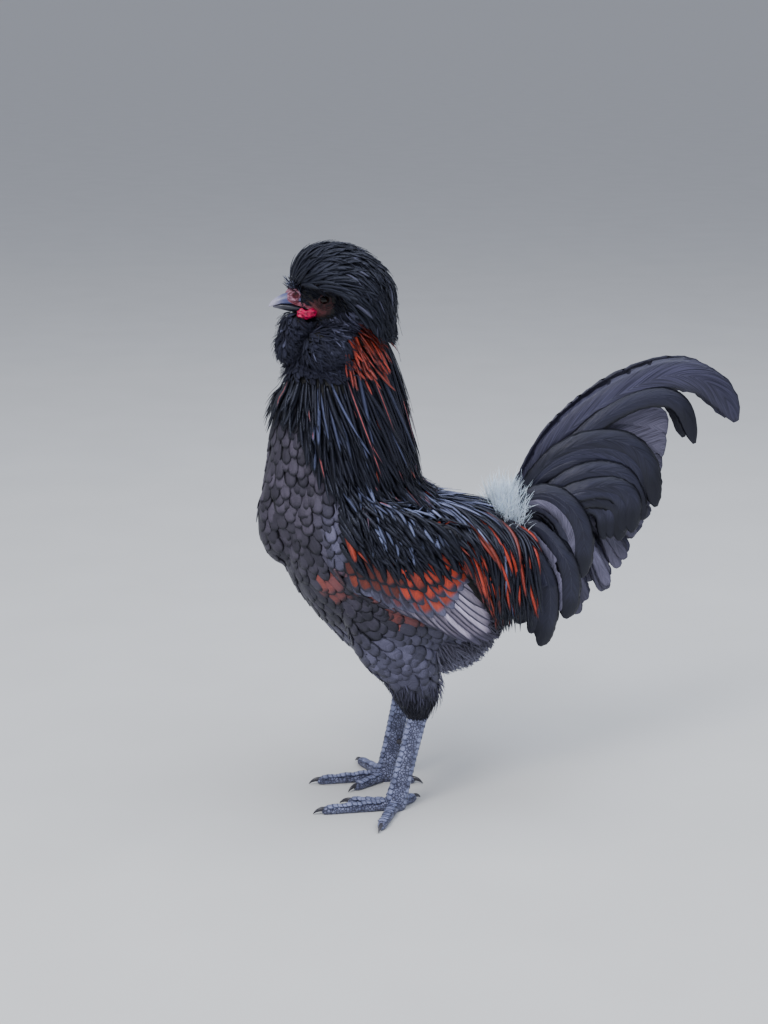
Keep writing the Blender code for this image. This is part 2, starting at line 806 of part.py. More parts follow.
def wing_feather(side, root, tip, width, lift):
    """One wing feather that lies on the folded wing and overlaps the next one like a shingle."""
    path, facings = [], []
    for t in np.linspace(0, 1, 4):
        y = root[0] + (tip[0] - root[0]) * t
        z = root[1] + (tip[1] - root[1]) * t
        x, facing = wing_face(y, z, lift * min(1, 2 * t) - ROOT_SINK * max(0, 1 - 3 * t))
        path.append((side * x, y, z))
        facings.append((side * facing[0], facing[1], facing[2]))
    along = units(np.array(path[-1]) - np.array(path[0]))
    turn = Matrix.Rotation(-side * WING_SHINGLE, 3, Vector(along))
    facings = [tuple(turn @ Vector(facing)) for facing in facings]
    return vane(path, facings, outline(FEATHER_OUTLINE, 3, width))


def wing(side):
    """The folded wing: flight feathers at the bottom, greater and lesser coverts in tiers over them."""
    shapes = [wing_core(side)]
    for roots, tips, count, width, lift in WING_TIERS:
        tip_line = smooth_path([(y, z, 0) for y, z in tips], count - 1)
        for i in range(count):
            u = i / (count - 1)
            root = [a + (b - a) * u for a, b in zip(*roots)]
            shapes.append(wing_feather(side, root, tip_line[i][:2], width, lift))
    return shapes


def tail_feather(side, x, width, segments, line, profile):
    """One tail feather that stands on edge, its face to the side, along a line of y and z."""
    rows = smooth_path([(0.0, y, z) for y, z in line], segments)
    share = np.interp(np.linspace(0, 1, segments + 1), (0, 0.5), (TAIL_ROOT_SHARE, 1))
    rows[:, 0] = side * x * share
    facings = [(side, 0, 0)] * len(rows)
    return vane(rows, facings, outline(profile, segments, width))


def tail():
    """The tail: a root with its fluff, the fan of main feathers, and the arched sickles and coverts."""
    draw = random.Random(SEED + 4)
    shapes = [loft(along_body(TAIL_ROOT), 12, 3, domes=1), ball(*TAIL_FLUFF, 10, 8)]
    for side in (LEFT, RIGHT):
        for i, (y, z) in enumerate(MAIN_TAIL_TIPS):
            start = (0.106, 0.237 - 0.005 * i)
            bow = ((start[0] + y) / 2, (start[1] + z) / 2 + 0.006)
            x = 0.0022 + 0.0016 * i
            line = (start, bow, (y - 0.004 * (side == RIGHT), z))
            shapes.append(tail_feather(side, x, MAIN_TAIL_WIDTH, 3, line, FEATHER_OUTLINE))
        for x, width, segments, line in TAIL_ARCS:
            back = draw.uniform(-0.006, 0.002) if side == RIGHT else 0
            up = draw.uniform(-0.002, 0.003) if side == RIGHT else 0
            moved = [(y + back * k / len(line), z + up * k / len(line)) for k, (y, z) in enumerate(line)]
            shapes.append(tail_feather(side, x, width, segments, moved, SICKLE_OUTLINE))
    return shapes


def arch_at(y):
    """The saddle arch's half width, middle height and half height at this place along the body."""
    places, *columns = zip(*SADDLE_ARCH)
    return [np.interp(y, places, column) for column in columns]


def saddle_face(run, y, lift):
    """A point and its facing on the saddle's arch, run down over it from the middle line of the back."""
    wide, middle, tall = arch_at(y)
    quarter = math.pi / 4 * (wide + tall)
    turn = min(run / quarter, 1) * math.pi / 2
    facing = units(np.array([math.sin(turn) / wide, 0.3 / wide, math.cos(turn) / tall]))
    point = np.array([math.sin(turn) * wide, y, middle + math.cos(turn) * tall - max(0, run - quarter)])
    return point + facing * lift, facing


def saddle():
    """The saddle's pad on the back and the long pointed locks that fall from it."""
    pad = loft(along_body(SADDLE_PAD), 14, 3, domes=1, heading=ALONG, dome_depth=SADDLE_DOME)
    lie = Lie([(pad, 0)])
    draw = random.Random(SEED + 5)
    shapes = [pad]
    for start, tip_height, lift in SADDLE_TIERS:
        for side in (LEFT, RIGHT):
            for i in range(SADDLE_LOCKS):
                share = (i + draw.uniform(-0.10, 0.10)) / (SADDLE_LOCKS - 1)
                y = np.interp(share, (0, 1), SADDLE_ROOTS)
                slant = math.radians(np.interp(share, (0, 1), SADDLE_SLANT))
                wide, middle, tall = arch_at(y + SADDLE_LAG * share)
                last = math.pi / 4 * (wide + tall) + middle - tip_height + draw.uniform(-0.005, 0.005)
                reach = (last - start) / math.cos(slant)
                path, facings = [], []
                for t in (0.0, 0.25, 0.6, 1.0):
                    run = start + math.cos(slant) * reach * t
                    raised = lift + SADDLE_SHINGLE * (i % 2)
                    point, facing = saddle_face(run, y + math.sin(slant) * reach * t, raised)
                    if t == 0:
                        _, spot, out = lie.above(Vector(point))
                        point = spot - out * ROOT_SINK
                    path.append((side * point[0], point[1], point[2]))
                    facings.append((side * facing[0], facing[1], facing[2]))
                shapes.append(vane(path, facings, outline(HACKLE_OUTLINE, 3, SADDLE_WIDTH)))
    return shapes


def thigh(side):
    rows = [(side * LEG_APART, y, z, wide, deep) for y, z, wide, deep in THIGH_STATIONS]
    return [loft(rows, 12, 5)]


def with_scutes(rows, count, rise):
    """Sections along a limb that step in under the lower edge of each of its horny plates."""
    ends = smooth_path(rows, count)
    made = []
    for upper, lower in zip(ends, ends[1:]):
        for share, raised in ((0.0, 0.2), (0.9, 1.0)):
            row = upper + (lower - upper) * share
            row[3:] += rise * raised
            made.append(row)
    return made + [ends[-1]]


def shank(side):
    hock = (HOCK_Y[side], HOCK_HEIGHT)
    pad = (PAD_Y[side], PAD_HEIGHT)
    rows = []
    for share, wide, deep in ((0, 0.0062, 0.0066), (0.3, 0.0052, 0.0066), (0.75, 0.0052, 0.0070)):
        y = hock[0] + (pad[0] - hock[0]) * share
        z = hock[1] + (pad[1] - hock[1]) * share
        rows.append((side * LEG_APART, y, z, wide, deep))
    rows.append((side * LEG_APART, pad[0], pad[1], 0.0085, 0.0095))
    return [loft(with_scutes(rows, SHANK_SCUTES, SHANK_SCUTE_RISE), 8, floor=0.0, domes=1)]


def toe_line(side, name):
    """Where a toe starts beside the pad's middle and where it ends, on the floor plane."""
    middle = np.array([side * LEG_APART, PAD_Y[side]])
    out, forward = TOES[side][name]
    reach = np.array([side * out, forward])
    return middle + units(reach) * TOE_START, middle + reach


def toe(side, name):
    start, end = toe_line(side, name)
    rows = []
    for share in (0.0, 0.35, 0.7, 1.0):
        radius = TOE_BASE + (TOE_END - TOE_BASE) * share
        x, y = start + (end - start) * share
        rows.append((x, y, radius * 0.85, radius, radius))
    across = units(np.array([start[1] - end[1], end[0] - start[0], 0.0]))
    count = round(np.linalg.norm(end - start) / TOE_SCUTE_PITCH)
    rows = with_scutes(rows, count, TOE_SCUTE_RISE)
    return [loft(rows, 6, side=tuple(across), floor=0.0, domes=1)]


def claw(side, name):
    start, end = toe_line(side, name)
    heading = units(end - start)
    across = (-heading[1], heading[0], 0.0)
    rows = []
    for share, high in ((0.0, 0.0040), (0.4, 0.0046), (0.75, 0.0036), (1.0, 0.0016)):
        x, y = end + heading * CLAW_LENGTH * share
        radius = CLAW_RADIUS * (1 - 0.75 * share)
        rows.append((x, y, high, radius * 0.8, radius))
    return [loft(rows, 6, 2, side=across, domes=1)]


def spur(side):
    """A short blunt bud on the inner rear of the shank."""
    y = (PAD_Y[side] + HOCK_Y[side]) / 2 + 0.001
    z = HOCK_HEIGHT * 0.42
    x = side * (LEG_APART - 0.003)
    rows = []
    for share in (0.0, 0.5, 1.0):
        reach = (0.004 + SPUR_LENGTH) * share
        radius = SPUR_RADIUS * (1 - 0.6 * share)
        rows.append((x - side * reach * 0.75, y + reach * 0.66, z + reach * 0.1, radius, radius))
    return [loft(rows, 6, 2, side=(0, 0, 1), domes=1)]


def build():
    for item in list(bpy.data.objects):
        bpy.data.objects.remove(item)
    bird = bpy.data.collections.new("crested_cockerel")
    bpy.context.scene.collection.children.link(bird)

    black = material("black_feather", (0.012, 0.013, 0.018), 0.45)
    grey = material("slate_feather", (0.075, 0.075, 0.090), 0.6)
    orange = material("orange_feather", (0.35, 0.060, 0.016), 0.55)
    tail_grey = material("tail_feather", (0.050, 0.050, 0.060), 0.5)
    skin = material("facial_skin", (0.22, 0.035, 0.025), 0.55)
    red = material("wattle_skin", (0.55, 0.010, 0.020), 0.45)
    horn = material("bill_horn", (0.16, 0.18, 0.24), 0.35)
    scaly = material("shank_scale", (0.12, 0.12, 0.17), 0.5)
    glossy = material("eye_surface", (0.010, 0.006, 0.005), 0.05)
    dark_claw = material("claw_horn", (0.030, 0.028, 0.035), 0.4)

    plans = [("bill_upper", bill_upper(), horn, nostril_pits()), ("bill_lower", bill_lower(), horn, ())]
    for side, word in SIDE_NAMES.items():
        plans.append((f"eye_{word}", eye(side), glossy, ()))
        plans.append((f"spur_{word}", spur(side), dark_claw, ()))
        for name in TOES[side]:
            plans.append((f"claw_{word}_{name}", claw(side, name), dark_claw, ()))
    plans.append(("torso", torso(), grey, ()))
    plans.append(("head", head(), skin, gape()))
    for side, word in SIDE_NAMES.items():
        plans.append((f"wattle_{word}", wattle(side), red, ()))
        plans.append((f"thigh_{word}", thigh(side), grey, ()))
        plans.append((f"shank_{word}", shank(side), scaly, ()))
        for name in TOES[side]:
            plans.append((f"toe_{word}_{name}", toe(side, name), scaly, ()))
        plans.append((f"wing_{word}", wing(side), orange, ()))
    plans.append(("tail", tail(), tail_grey, ()))
    plans.append(("neck", neck(), black, ()))
    plans.append(("saddle", saddle(), black, ()))
    plans.append(("beard", beard(), black, ()))
    for side, word in SIDE_NAMES.items():
        plans.append((f"muff_{word}", muff(side), black, ()))
    plans.append(("crest", crest(), black, ()))

    made = []
    earlier = []
    for name, shapes, finish, pits in plans:
        piece = make_node(name, shapes, finish, bird, pits)
        cut_clear(piece, earlier)
        earlier.extend(shapes)
        made.append(piece)

    corners = np.array([v.co[:] for piece in made for v in piece.data.vertices])
    low, high = corners.min(axis=0), corners.max(axis=0)
    shift = Vector((-(low[0] + high[0]) / 2, -(low[1] + high[1]) / 2, -low[2]))
    for piece in made:
        piece.data.transform(Matrix.Translation(shift))
        piece.data.shade_smooth()
        piece.data.set_sharp_from_angle(angle=SMOOTH_ANGLE)


build()
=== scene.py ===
# %% [markdown]
# # A crested and bearded cockerel, feather by feather
#
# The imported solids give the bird's true size and outline. Here it gets its looks: one skin under
# all the plumage, thousands of thin feathers that lie along it, a scaly foot, a horn bill, bare
# red skin round the eye and a glossy eye. Every piece is laid out from a few named sizes, in the
# frame that the solids were designed in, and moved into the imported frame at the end. Sizes are
# metres, and the longer tables are typed in millimetres and turned into metres by `mm`.

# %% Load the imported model
import math
import random

import bmesh
import bpy
import numpy as np
from mathutils import Matrix, Vector
from mathutils.bvhtree import BVHTree
from mathutils.kdtree import KDTree


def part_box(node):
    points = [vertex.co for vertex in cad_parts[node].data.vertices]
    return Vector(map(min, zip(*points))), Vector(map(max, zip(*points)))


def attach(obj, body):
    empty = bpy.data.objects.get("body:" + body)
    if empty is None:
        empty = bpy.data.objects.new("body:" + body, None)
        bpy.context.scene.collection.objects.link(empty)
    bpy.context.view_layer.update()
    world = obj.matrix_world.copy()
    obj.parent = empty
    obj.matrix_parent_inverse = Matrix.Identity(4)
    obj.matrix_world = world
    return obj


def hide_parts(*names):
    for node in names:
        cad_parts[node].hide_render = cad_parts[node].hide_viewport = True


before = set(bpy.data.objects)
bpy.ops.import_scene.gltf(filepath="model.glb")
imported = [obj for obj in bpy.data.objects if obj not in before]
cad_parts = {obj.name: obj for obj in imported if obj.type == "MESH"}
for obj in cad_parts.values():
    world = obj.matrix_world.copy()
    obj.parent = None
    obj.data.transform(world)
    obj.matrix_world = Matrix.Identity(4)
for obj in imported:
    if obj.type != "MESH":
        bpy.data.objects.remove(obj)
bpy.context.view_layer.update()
print("solids loaded:", len(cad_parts))

# %% [markdown]
# ## The camera comes first
#
# The eye is the one small thing whose place is known exactly in both frames, so the distance
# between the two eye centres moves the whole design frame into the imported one. The camera stands
# to the bird's left, a little ahead of it and higher, as the photographer did.

# %% Camera
EYE_CENTRE = np.array((0.0114, -0.057, 0.4330))
SHIFT = np.mean(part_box("eye_left")[:2], axis=0) - EYE_CENTRE
CAMERA_PLACE = np.array((1.69697, -0.36606, 0.664))
CAMERA_AZIMUTH = math.radians(78)
CAMERA_DOWN = math.radians(13.389)
SENSOR_HEIGHT = 36.0
FOCAL_LENGTH = 74.883


def add_object(name, data):
    made = bpy.data.objects.new(name, data)
    bpy.context.scene.collection.objects.link(made)
    return made


camera = add_object("camera", bpy.data.cameras.new("camera"))
bpy.context.scene.camera = camera
camera.location = Vector(CAMERA_PLACE + SHIFT)
level = math.cos(CAMERA_DOWN)
look = Vector((-math.sin(CAMERA_AZIMUTH) * level, math.cos(CAMERA_AZIMUTH) * level, -math.sin(CAMERA_DOWN)))
camera.rotation_euler = look.to_track_quat("-Z", "Y").to_euler()
camera.data.sensor_fit = "VERTICAL"
camera.data.sensor_height = SENSOR_HEIGHT
camera.data.lens = FOCAL_LENGTH
print("design frame moved by", SHIFT.round(5))

# %% [markdown]
# ## Small tools
#
# A path through a few given rows, a soft step between two values, and a colour named by its
# screen values are used by almost every piece, so they come first.

# %% Paths, steps and colours
LEFT, RIGHT = 1, -1
SIDES = {LEFT: "left", RIGHT: "right"}
MIRRORED = {side: np.array((side, 1, 1)) for side in SIDES}
FINE_STEPS = 12


def sampled(at, places, rows):
    """Rows, known at these places, read at others."""
    return np.stack([np.interp(at, places, column) for column in rows.T], axis=-1)


def smooth_path(rows, count):
    """count + 1 even samples of the smooth curve through the rows, further columns carried along."""
    rows = np.array(rows, float)
    ends = np.vstack([2 * rows[0] - rows[1], rows, 2 * rows[-1] - rows[-2]])
    fine = []
    for i in range(len(rows) - 1):
        a, b, c, d = ends[i : i + 4]
        for t in np.arange(FINE_STEPS) / FINE_STEPS:
            bend = (2 * a - 5 * b + 4 * c - d) + t * (3 * b - a - 3 * c + d)
            fine.append(b + 0.5 * t * ((c - a) + t * bend))
    fine.append(rows[-1])
    fine = np.array(fine)
    run = np.concatenate([[0], np.cumsum(np.linalg.norm(np.diff(fine[:, :3], axis=0), axis=1))])
    return sampled(np.linspace(0, run[-1], count + 1), run, fine)


def mm(sizes):
    """Sizes in millimetres, nested or not, as metres."""
    return tuple(mm(size) for size in sizes) if isinstance(sizes, tuple) else round(sizes / 1000, 7)


def units(rows):
    return rows / np.maximum(np.linalg.norm(rows, axis=-1, keepdims=True), 1e-9)


def step(value, start, end):
    """A soft step from 0 to 1."""
    t = np.clip((np.asarray(value, float) - start) / (end - start), 0, 1)
    return t * t * (3 - 2 * t)


def between(value, low, high):
    return (value > low) & (value < high)


def line_at(place, line):
    """The second column at this place of a line that is given in two columns."""
    return np.interp(place, *zip(*line))


def paint(red, green, blue):
    """A colour named by its screen values, as the linear values that a shader takes."""
    share = np.array((red, green, blue)) / 255
    return np.where(share <= 0.04045, share / 12.92, ((share + 0.055) / 1.055) ** 2.4)


def mix(first, second, share):
    """Colours for many feathers at once: rows of first and second, mixed by each row's share."""
    share = np.asarray(share, float)[..., None]
    return np.asarray(first) * (1 - share) + np.asarray(second) * share

# %% [markdown]
# ## Shader maths
#
# A feather's pattern is arithmetic on how far across and along the vane a point lies. A small
# class wraps a socket, so the arithmetic reads as Python and adds the nodes by itself.

# %% A wrapped socket and a finish
class Wire:
    """A socket whose sums, products and comparisons become Math nodes."""

    def __init__(self, finish, socket):
        self.finish = finish
        self.socket = socket

    def math(self, operation, *values):
        return self.finish.node("ShaderNodeMath", {"operation": operation}, dict(enumerate(values)))

    def __add__(self, other):
        return self.math("ADD", self, other)

    def __sub__(self, other):
        return self.math("SUBTRACT", self, other)

    def __rsub__(self, other):
        return self.math("SUBTRACT", other, self)

    def __mul__(self, other):
        return self.math("MULTIPLY", self, other)

    __radd__ = __add__
    __rmul__ = __mul__

    def size(self):
        return self.math("ABSOLUTE", self)

    def larger(self, other):
        return self.math("MAXIMUM", self, other)

    def soft(self, start, end):
        """A soft step from 0 at start to 1 at end."""
        settings = {"interpolation_type": "SMOOTHSTEP"}
        return self.finish.node("ShaderNodeMapRange", settings, {0: self, 1: start, 2: end})


class Finish:
    """A material and the few ways in which nodes are added to it."""

    def __init__(self, name, **constants):
        self.material = bpy.data.materials.new(name)
        self.material.use_nodes = True
        self.tree = self.material.node_tree
        self.surface = self.tree.nodes["Principled BSDF"]
        for socket, value in constants.items():
            self.surface.inputs[socket.replace("_", " ")].default_value = value

    def node(self, kind, settings, inputs, output=0):
        made = self.tree.nodes.new(kind)
        for key, value in settings.items():
            setattr(made, key, value)
        for key, value in inputs.items():
            self.feed(made.inputs[key], value)
        return Wire(self, made.outputs[output])

    def feed(self, socket, value):
        if isinstance(value, Wire):
            self.tree.links.new(value.socket, socket)
        elif isinstance(value, (tuple, np.ndarray)):
            socket.default_value = (*value, 1)[: len(socket.default_value)]
        else:
            socket.default_value = value

    def attribute(self, name, output="Fac"):
        return self.node("ShaderNodeAttribute", {"attribute_name": name}, {}, output)

    def place(self):
        return self.node("ShaderNodeTexCoord", {}, {}, "Object")

    def vector(self, x, y, z):
        return self.node("ShaderNodeCombineXYZ", {}, {0: x, 1: y, 2: z})

    def noise(self, place, scale, detail=2.0, output="Fac"):
        inputs = {"Vector": place, "Scale": scale, "Detail": detail}
        return self.node("ShaderNodeTexNoise", {}, inputs, output)

    def colour(self, share, first, second, blend="MIX"):
        settings = {"data_type": "RGBA", "blend_type": blend}
        return self.node("ShaderNodeMix", settings, {0: share, 6: first, 7: second}, 2)

    def bump(self, height, strength, distance):
        inputs = {"Strength": strength, "Distance": distance, "Height": height}
        self.feed(self.surface.inputs["Normal"], self.node("ShaderNodeBump", {}, inputs))

    def show(self, colour, roughness):
        self.feed(self.surface.inputs["Base Color"], colour)
        self.feed(self.surface.inputs["Roughness"], roughness)

# %% [markdown]
# ## What a feather looks like up close
#
# A vane is a comb of fine barbs that slant from the shaft to the edge. Each feather carries its
# own ground, margin and streak colour as attributes, and every vertex knows how far across and
# along its vane it lies. One recipe then draws laced, streaked and plain feathers alike: barbs as
# fine slanting noise, a margin near the outline, a streak beside the shaft, and the shaft itself.

# %% Feather finish
def feather_finish(name, rough, lace, streak, shaft, gloss_tint, barbs=60.0, contrast=0.7, webbed=1.0):
    """Lace is where the margin starts, streak half the width of the shaft streak, as vane shares."""
    made = Finish(name, IOR=1.5, Specular_Tint=(*gloss_tint, 1))
    across = made.attribute("across").size()
    along = made.attribute("along")
    luck = made.attribute("luck")
    slant = (along - across * 0.18) * barbs
    barb = made.noise(made.vector(slant, across * 1.5, luck * 40), 1.0).soft(0.30, 0.70)
    blotch = made.noise(made.vector(across, along * 2, luck * 60), 1.3, 1.0)
    tipward = (along - 0.5) * 2.0
    margin = (across * webbed).larger(tipward).soft(lace, lace + 0.22)
    band = (1 - across.soft(streak * 0.5, streak)) * along.soft(0.10, 0.3) * (1 - along.soft(0.75, 0.95))
    ground = made.colour(band, made.attribute("ground", "Color"), made.attribute("streak", "Color"))
    ground = made.colour(margin, ground, made.attribute("margin", "Color"))
    quill = (1 - across.soft(0.02, 0.06)) * (1 - along.soft(0.6, 0.9)) * shaft
    ground = made.colour(quill, ground, made.colour(0.6, ground, (0.16, 0.16, 0.20)))
    shade = barb * contrast + luck * 0.5 + blotch * 0.8 + (0.35 - contrast * 0.5)
    grey = made.vector(shade, shade, shade)
    ground = made.colour(1.0, ground, grey, "MULTIPLY")
    made.show(ground, barb * 0.22 + (rough - 0.10))
    made.bump(barb, 0.35, 0.0004)
    return made.material


BLUE_GLOSS = (0.70, 0.76, 1.0)
GREY_GLOSS = (0.80, 0.82, 1.0)
# Roughness, lace, streak, strength of the shaft and gloss
body_finish = feather_finish("body_feather", 0.50, 0.70, 0.90, 0.1, GREY_GLOSS, contrast=0.6)
hackle_finish = feather_finish("hackle_feather", 0.34, 0.72, 0.26, 0.15, BLUE_GLOSS)
crest_finish = feather_finish("crest_feather", 0.50, 0.80, 0.10, 0.1, BLUE_GLOSS)
wing_finish = feather_finish("wing_feather", 0.50, 0.62, 0.50, 0.2, GREY_GLOSS, 110.0, contrast=0.6)
tail_finish = feather_finish("tail_feather", 0.40, 0.60, 0.85, 0.15, GREY_GLOSS, 150.0, 1.2, 0.9)
down_finish = feather_finish("down", 0.80, 0.95, 0.0001, 0.0, GREY_GLOSS, contrast=0.3)
print("feather finishes:", len([m for m in bpy.data.materials if "feather" in m.name]))

# %% [markdown]
# ## One skin under the plumage
#
# Under its feathers a cockerel is far slimmer than it looks. The torso, neck, head, thighs,
# folded wings and the roots of crest, beard and tail are lofts through the same stations that the
# solids have, drawn in by the depth of the coat. A voxel remesh melts them into a single skin, so
# that no seam shows where one part grows from another.

# %% Lofts
DOME_ANGLES = (65, 40, 18)


def square_to(along, across):
    """Directions across and deep, square to the line and to each other."""
    wide = units(np.array(across, float) - along * (along @ np.array(across, float))[:, None])
    return wide, np.cross(along, wide)


def loft(stations, sides=32, rings=36, across=(1, 0, 0), upright=False):
    """Points and faces of a closed body of elliptic sections x, y, z, half width, half depth."""
    rows = smooth_path(stations, rings)
    centres = rows[:, :3]
    along = np.tile((0.0, 1.0, 0.0), (len(rows), 1)) if upright else units(np.gradient(centres, axis=0))
    wide, deep = square_to(along, across)
    sections = [(centres[k], k, 1.0) for k in range(len(rows))]
    for end, out in ((0, -1), (len(rows) - 1, 1)):
        reach = rows[end, 3:].min()
        dome = []
        for angle in np.radians(DOME_ANGLES):
            middle = centres[end] + along[end] * out * reach * math.sin(angle)
            dome.append((middle, end, math.cos(angle)))
        sections = dome + sections if out < 0 else sections + dome[::-1]
    turn = np.arange(sides) * 2 * math.pi / sides
    points = []
    for middle, k, share in sections:
        ring = np.outer(np.cos(turn), wide[k]) * rows[k, 3] + np.outer(np.sin(turn), deep[k]) * rows[k, 4]
        points.extend(middle + ring * share)
    points.append(centres[0] - along[0] * rows[0, 3:].min())
    points.append(centres[-1] + along[-1] * rows[-1, 3:].min())
    count = len(sections)
    faces = []
    for j in range(sides):
        k = (j + 1) % sides
        faces.append((count * sides, k, j))
        faces.append((count * sides + 1, (count - 1) * sides + j, (count - 1) * sides + k))
        for r in range(count - 1):
            faces.append((r * sides + j, r * sides + k, (r + 1) * sides + k, (r + 1) * sides + j))
    return np.array(points), faces


def new_piece(name, points, faces):
    """A mesh object with its faces turned outwards and shaded smooth."""
    mesh = bpy.data.meshes.new(name)
    mesh.from_pydata([tuple(p) for p in points], [], faces)
    cage = bmesh.new()
    cage.from_mesh(mesh)
    bmesh.ops.recalc_face_normals(cage, faces=cage.faces)
    cage.to_mesh(mesh)
    cage.free()
    mesh.shade_smooth()
    return add_object(name, mesh)


def store(mesh, name, values):
    """A number or a colour for every vertex, which a finish can read."""
    kind, field = ("FLOAT", "value") if np.ndim(values) == 1 else ("FLOAT_COLOR", "color")
    mesh.attributes.new(name, kind, "POINT").data.foreach_set(field, np.ravel(values))


def opaque(colours):
    return np.concatenate([colours, np.ones((len(colours), 1))], axis=1)


def joined(name, shapes):
    """One object of several closed shapes."""
    points, faces = [], []
    for shape_points, shape_faces in shapes:
        start = len(points)
        points.extend(shape_points)
        faces.extend(tuple(start + i for i in face) for face in shape_faces)
    return new_piece(name, points, faces)


def modify(piece, kind, **settings):
    """Adds a modifier and applies it."""
    bpy.ops.object.select_all(action="DESELECT")
    piece.select_set(True)
    bpy.context.view_layer.objects.active = piece
    made = piece.modifiers.new(kind.lower(), kind)
    for key, value in settings.items():
        setattr(made, key, value)
    bpy.ops.object.modifier_apply(modifier=made.name)


def melt(piece, voxel, rounds):
    """Makes the overlapping shapes of a piece one smooth surface."""
    modify(piece, "REMESH", mode="VOXEL", voxel_size=voxel, use_smooth_shade=True)
    modify(piece, "SMOOTH", factor=0.5, iterations=rounds)


def hand_over(piece, finish, slot, *replaced):
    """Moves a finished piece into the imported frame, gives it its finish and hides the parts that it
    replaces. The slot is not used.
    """
    piece.data.transform(Matrix.Translation(Vector(SHIFT)))
    piece.data.materials.clear()
    piece.data.materials.append(finish)
    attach(piece, "root")
    if replaced:
        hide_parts(*replaced)
    triangles = sum(len(face.vertices) - 2 for face in piece.data.polygons)
    print(piece.name, triangles, "triangles")

# %% [markdown]
# The stations are y, z, half width and half height down the middle of the bird. The coat is
# thickest on the torso, so there the skin lies deepest.

# %% Skin
COAT_DEPTH = 0.0045
TORSO = mm((
    (-90, 250, 26, 42), (-78, 250, 42, 66), (-55, 244, 54, 90), (-20, 220, 60, 99), (20, 196, 60, 85),
    (52, 184, 57, 73), (74, 181, 47, 60), (88, 187, 32, 45), (95, 193, 16, 25),
))
NECK = mm((
    (-36, 270, 47, 56), (-42, 310, 43, 56.5), (-42, 350, 36, 50.5), (-41, 385, 29, 40), (-43, 405, 21, 29),
))
CROP = mm(((-72, 258, 36, 38.5), (-66, 300, 36, 38.5), (-60, 340, 31, 38.5)))
HEAD = mm((
    (-34, 423.5, 14.5, 17.5), (-49, 425.5, 16.6, 19), (-61, 427.8, 13.8, 15.6), (-69, 429.2, 10, 10.4),
))
LEG_APART = 0.0355
THIGH = mm((
    (-6, 180, 26, 46), (-3, 150, 25, 37), (10, 122, 20, 26), (15.5, 98, 15, 19.5), (16.5, 87, 11, 12.5),
))
THIGH_COAT = 0.0030
WING = mm((
    (-56, 246, 16, 6), (-40, 238, 36, 9), (0, 220, 46, 10), (40, 200, 45, 8), (68, 170, 24, 4),
    (78, 156, 10, 2),
))
WING_WIDEST = 0.0650
WING_BENDS = (4.4, 3.0)
WING_ROUNDING = 3.5
TAIL_ROOT = mm(((88, 212, 23, 26), (103, 230, 20, 22), (113, 250, 12, 15)))
SADDLE_PAD = mm(((50, 206, 50, 53), (76, 212, 40, 41), (88, 212, 32, 33)))
# Balls of flesh on the middle line: middle and half sizes
PADS = {
    "crest": mm(((0, -40, 450), (30, 33, 20))),
    "brow": mm(((0, -65, 443), (12, 12.5, 10))),
    "lore": mm(((0, -70, 435.2), (9.6, 7.4, 8.2))),
    "temple": mm(((0, -30, 434), (34, 23, 23.5))),
    "beard": mm(((0, -78.8, 406.2), (16, 11.2, 15.5))),
    "chin": mm(((0, -84, 393), (12, 9, 10.5))),
}
MUFF_ROOT = mm(((23.5, -56, 394.5), (12.5, 20, 16.5)))
SKIN_VOXEL = 0.0016


def ball(centre, radii):
    """An ellipsoid from the sphere primitive, as points and faces."""
    cage = bmesh.new()
    bmesh.ops.create_uvsphere(cage, u_segments=24, v_segments=16, radius=1)
    points = np.array([v.co[:] for v in cage.verts]) * radii + centre
    faces = [tuple(v.index for v in f.verts) for f in cage.faces]
    cage.free()
    return points, faces


def down_the_middle(stations, inset=0.0, x=0.0):
    return [(x, y, z, wide - inset, high - inset) for y, z, wide, high in stations]


def wing_side(y):
    """How far out the folded wing's outer face lies at this place along the body."""
    return WING_WIDEST - np.where(y < 0, *WING_BENDS) * y * y


def wing_body(side):
    return [(side * (wing_side(y) - thick), y, z, thick, high - 0.004) for y, z, high, thick in WING]


shells = [
    loft(down_the_middle(TORSO, COAT_DEPTH), upright=True),
    loft(down_the_middle(NECK, 0.001)),
    loft(down_the_middle(CROP, 0.002)),
    loft(down_the_middle(HEAD)),
    loft(down_the_middle(TAIL_ROOT)),
    loft(down_the_middle(SADDLE_PAD, 0.003), upright=True),
]
shells += [ball(*pad) for pad in PADS.values()]
for side in SIDES:
    shells.append(loft(down_the_middle(THIGH, THIGH_COAT, side * LEG_APART)))
    shells.append(loft(wing_body(side)))
    middle, radii = MUFF_ROOT
    shells.append(ball(middle * MIRRORED[side], radii))
skin = joined("skin", shells)
melt(skin, voxel=SKIN_VOXEL, rounds=12)
print("skin faces:", len(skin.data.polygons))

# %% [markdown]
# ## Reading the skin
#
# Feathers need three answers from the skin: where it is under a point, which way it faces there,
# and an even scatter of places to root in. A tree of its faces answers the first two. For the
# third, many random places are drawn, and any that crowds an earlier one is dropped.

# %% Skin reader
CANDIDATES = 150000


